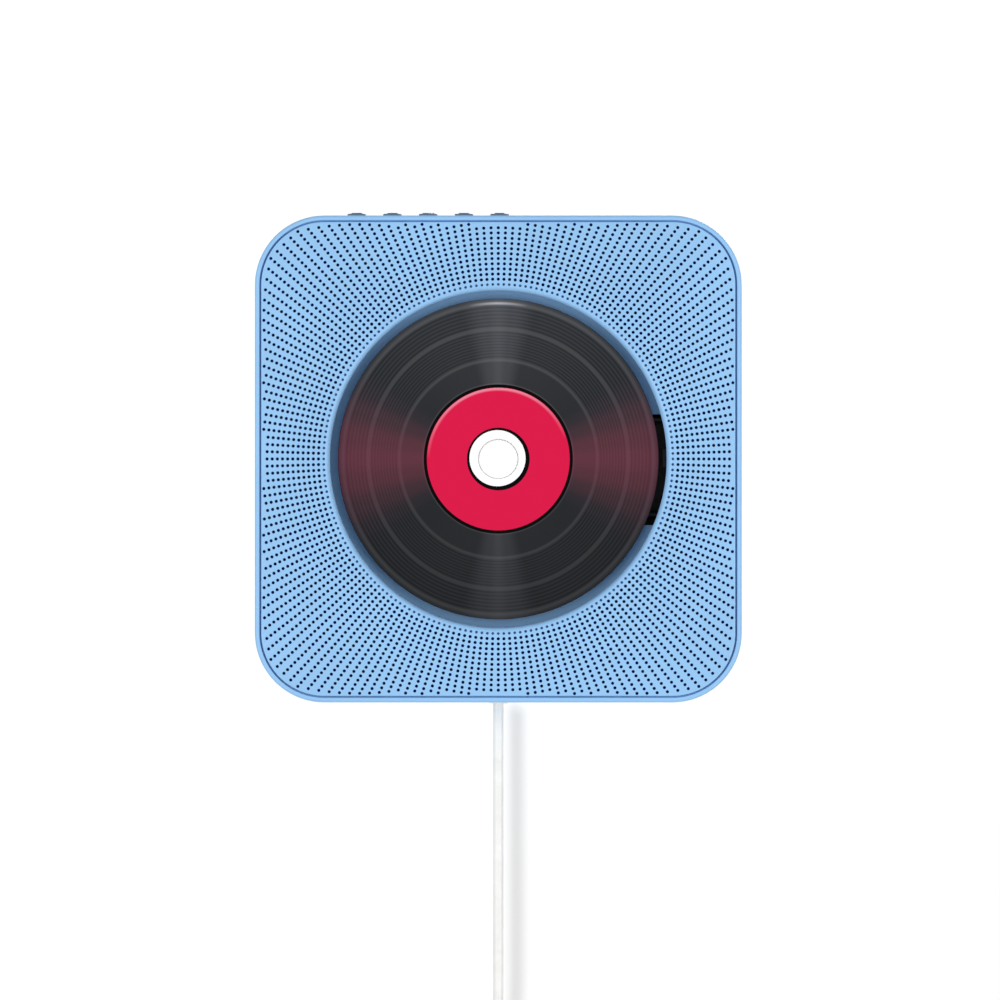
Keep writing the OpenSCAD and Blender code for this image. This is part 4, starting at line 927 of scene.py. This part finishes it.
def cord_plug():
    """The plug at the cord's end: moulded grip, ribbed sleeve, metal shell and the tongue inside it."""
    low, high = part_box("usb_plug")
    x, y = (low.x + high.x) / 2, (low.y + high.y) / 2
    shell_l, grip_w, grip_t = 12 * mm, high.x - low.x, high.y - low.y
    grip_low, grip_high = low.z + shell_l, high.z - 2 * mm
    corner_r, lower_r, shoulder_r = 2.6 * mm, 1.2 * mm, 2.4 * mm
    waist = [(0.25, 0.0), (0.45, 0.35), (0.65, 0.5), (0.8, 0.35)]
    tongue_w, tongue_t, tongue_aside = 11.2 * mm, 1.9 * mm, 0.95 * mm

    def ring(z, width, thickness, radius):
        return [(x + a, y + b, z) for a, b in rounded_section(width, thickness, radius)]

    rings = []
    for inset, rise in arc((0, 0), lower_r, -90, 0, 5):
        side = lower_r - inset
        rings.append(ring(grip_low + lower_r + rise, grip_w - 2 * side, grip_t - 2 * side, corner_r - side))
    for share, draw in waist:
        rings.append(ring(grip_low + (grip_high - grip_low) * share,
                          grip_w - 2 * draw * mm, grip_t - draw * mm, corner_r))
    for inset, rise in arc((0, 0), shoulder_r, 0, 90, 6):
        side = shoulder_r - inset
        rings.append(ring(grip_high - shoulder_r + rise, grip_w - 0.5 * mm - 2 * side,
                          grip_t - 0.3 * mm - 1.1 * side, max(0.5 * mm, corner_r - 0.6 * side)))
    grip = lofted("plug_grip", rings, finishes["white_cord"])
    sleeve = piece_from("plug_sleeve", [(x, y, grip_high - 1.0 * mm)], [], finishes["white_cord"])
    run_geometry(sleeve, *ribbed_sleeve())
    shell = piece_from("plug_shell", [(x, y, low.z + 6.5 * mm)], [], finishes["steel"])
    run_geometry(shell, *plug_shell_tree())
    tongue_rings = []
    for z, draw in ((low.z + 0.6 * mm, 0.3 * mm), (low.z + 0.9 * mm, 0.0), (grip_low + 0.5 * mm, 0.0)):
        tongue_rings.append([(a, b + tongue_aside, c) for a, b, c in
                             ring(z, tongue_w - draw, tongue_t - draw, 0.2 * mm)])
    tongue = lofted("plug_tongue", tongue_rings, finishes["black_plastic"])
    slots = ((grip, "white_cord"), (sleeve, "white_cord"), (shell, "steel"), (tongue, "black_plastic"))
    for piece, slot_name in slots:
        smooth(piece.data, 30)
        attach(piece, "pull")
    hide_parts("usb_plug")
    return [grip, sleeve, shell, tongue]


def coil_tie():
    """A hook-and-loop strap round all the coil's turns, its end lapped over on the outer side."""
    tie_angle = math.radians(125)
    room = cord_d / 2 + 0.35 * mm
    strap_w, strap_t = 4 * mm, 1 * mm
    inner, outer = coil_r - coil_pitch * layer_turns - room, coil_r + room
    back = -coil_middle.y - room
    front = back + 2 * room + coil_pitch * (coil_layers - 1)
    out = Vector((math.cos(tie_angle), 0, math.sin(tie_angle)))
    across = Vector((-out.z, 0, out.x))
    core = Vector((coil_middle.x, 0, coil_middle.z))

    def at(reach, depth, w):
        return core + out * reach + across * w - Vector((0, depth, 0))

    middle = ((inner + outer) / 2, (back + front) / 2)
    loop = rounded_section(outer - inner + strap_t, front - back + strap_t, room + strap_t / 2, 6)
    loop = [(middle[0] + a, middle[1] + b) for a, b in loop]
    section = rounded_section(strap_w, strap_t, 0.35 * mm, 3)
    points = []
    for i, (reach, depth) in enumerate(loop):
        before, after = loop[i - 1], loop[(i + 1) % len(loop)]
        along = Vector((after[0] - before[0], after[1] - before[1])).normalized()
        points += [at(reach + along.y * t, depth - along.x * t, w) for w, t in section]
    faces = skin(len(loop), len(section), closed=True)
    first = len(points)
    lap_start, lap_sink = middle[1] - 3.2 * mm, 0.05 * mm
    lap = [(0.0, 0.35), (0.4, 1.0), (6.0, 1.0), (6.6, 0.5)]
    for along, thick in lap:
        reach = outer + strap_t + thick * mm / 2 - lap_sink
        points += [at(reach + t, lap_start + along * mm, w) for w, t in
                   rounded_section(strap_w - 0.3 * mm, thick * mm, min(0.3, thick / 3) * mm, 3)]
    faces += capped_skin(len(lap), len(section), first)
    tie = piece_from("coil_tie", points, faces, finishes["black_rubber"])
    set_outward(tie.data)
    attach(tie, "pull")
    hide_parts("cord_tie")
    return tie


plug_pieces = cord_plug()
tie = coil_tie()


# ---------------------------------------------------------------- pull switch's spring

def return_spring():
    """The spring in the pull switch, a fine round wire. It is built at one length and fixed to the player,
    though the real one closes up as the cord is pulled.
    """
    low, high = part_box("pull_spring")
    x, y = (low.x + high.x) / 2, (low.y + high.y) / 2
    wire = 0.35 * mm
    radius = (high.x - low.x) / 2 - wire
    curls, steps, sides = 6, 40, 12
    rise = (high.z - low.z - 2 * wire) / curls
    rings = []
    for i in range(curls * steps + 1):
        a = 2 * math.pi * i / steps
        out = Vector((math.cos(a), math.sin(a), 0))
        spot = Vector((x, y, low.z + wire + rise * i / steps)) + radius * out
        rings.append([spot + wire * (math.cos(b) * out + math.sin(b) * Vector((0, 0, 1)))
                      for b in (2 * math.pi * k / sides for k in range(sides))])
    spring = lofted("return_spring", rings, finishes["steel"])
    set_outward(spring.data)
    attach(spring, "player")
    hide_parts("pull_spring")
    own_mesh(spring)


return_spring()


# ---------------------------------------------------------------- stage and light

def stage_material():
    """White to the camera, seen from one side only, and no bar to light, so that the back is lit too.

    It glows more with distance from the object, where the lamps reach less.
    """
    material, tree, shader = new_material("stage")
    output = tree.nodes["Material Output"]
    path = put(tree, "ShaderNodeLightPath").outputs
    behind = put(tree, "ShaderNodeNewGeometry").outputs["Backfacing"]
    lit = put(tree, "ShaderNodeBsdfDiffuse", {"Color": (0.3, 0.3, 0.3, 1)}).outputs[0]
    away = put(tree, "ShaderNodeVectorMath", {0: place(tree)[0]}, operation="LENGTH").outputs["Value"]
    strength = spread(tree, away, 0.4, 1.0, 0.53, 0.9)
    glow = put(tree, "ShaderNodeEmission", {"Color": (1, 1, 1, 1), "Strength": strength}).outputs[0]
    white_wall = put(tree, "ShaderNodeAddShader", {0: lit, 1: glow}).outputs[0]
    clear = put(tree, "ShaderNodeBsdfTransparent").outputs[0]
    blocked = maths(tree, "MAXIMUM", path["Is Shadow Ray"], path["Is Diffuse Ray"])
    unseen = maths(tree, "MAXIMUM", behind, blocked)
    mixed = put(tree, "ShaderNodeMixShader", {0: unseen, 1: white_wall, 2: clear}).outputs[0]
    tree.links.new(mixed, output.inputs["Surface"])
    tree.nodes.remove(shader)
    return material


def stage():
    """The wall, curving out into a pale floor well below."""
    top_z, floor_z, bend, width, reach = 2.5, -1.0, 0.35, 6.0, 4.0
    section = [(0.0, top_z)] + arc((-bend, floor_z + bend), bend, 0, -90, 24) + [(-reach, floor_z)]
    points = [(x, y, z) for y, z in section for x in (-width / 2, width / 2)]
    faces = [[2 * i, 2 * i + 2, 2 * i + 3, 2 * i + 1] for i in range(len(section) - 1)]
    wall = piece_from("wall_and_floor", points, faces, stage_material())
    return wall


def soft_light(name, where, size, power, target=(0, -0.02, 0), height=None):
    """A round light, or an oval one where its height is given."""
    lamp = bpy.data.lights.new(name, "AREA")
    lamp.shape = "ELLIPSE"
    lamp.size, lamp.size_y = size, height or size
    lamp.energy = power
    holder = bpy.data.objects.new(name, lamp)
    bpy.context.scene.collection.objects.link(holder)
    holder.location = where
    holder.rotation_euler = (Vector(target) - Vector(where)).to_track_quat("-Z", "Y").to_euler()
    return holder


def light_group(name, members, state="INCLUDE"):
    group = bpy.data.collections.new(name)
    for member in members:
        group.objects.link(member)
    for entry in group.collection_objects:
        entry.light_linking.link_state = state
    return group


def side_lights(wall):
    """Two tall soft lights, well to the left and right, that leave the wall to its own light."""
    for name, x in (("left_light", -1.8), ("right_light", 1.8)):
        lamp = soft_light(name, (x, -1.8, -0.2), 1.3, 33.2, height=3.0)
        lamp.light_linking.receiver_collection = light_group(name + "_skips", [wall], "EXCLUDE")


def wall_shadow_light(wall):
    """A light for the wall alone, from the upper left, in which only the cord casts its shadow."""
    lamp = soft_light("wall_light", (-0.64, -2.0, 0.9), 0.62, 81, (0, 0, -0.15))
    lamp.light_linking.receiver_collection = light_group("wall_light_reaches", [wall])
    lamp.light_linking.blocker_collection = light_group("wall_light_stopped_by", [cord])


def light_world():
    world = bpy.data.worlds.new("studio")
    bpy.context.scene.world = world
    world.use_nodes = True
    tree = world.node_tree
    path = put(tree, "ShaderNodeLightPath").outputs
    seen = maths(tree, "MAXIMUM", path["Is Camera Ray"],
                 maths(tree, "MAXIMUM", path["Is Glossy Ray"], path["Is Transmission Ray"]))
    strength = spread(tree, seen, 0.0, 1.0, 0.38, 1.0)
    feed(tree, tree.nodes["Background"].inputs["Strength"], strength)
    tree.nodes["Background"].inputs["Color"].default_value = (1, 1, 1, 1)


wall = stage()
light_world()
side_lights(wall)
soft_light("rear_light", (0.9, 2.2, 1.1), 1.2, 38)
wall_shadow_light(wall)
bpy.context.scene.view_settings.view_transform = "Standard"
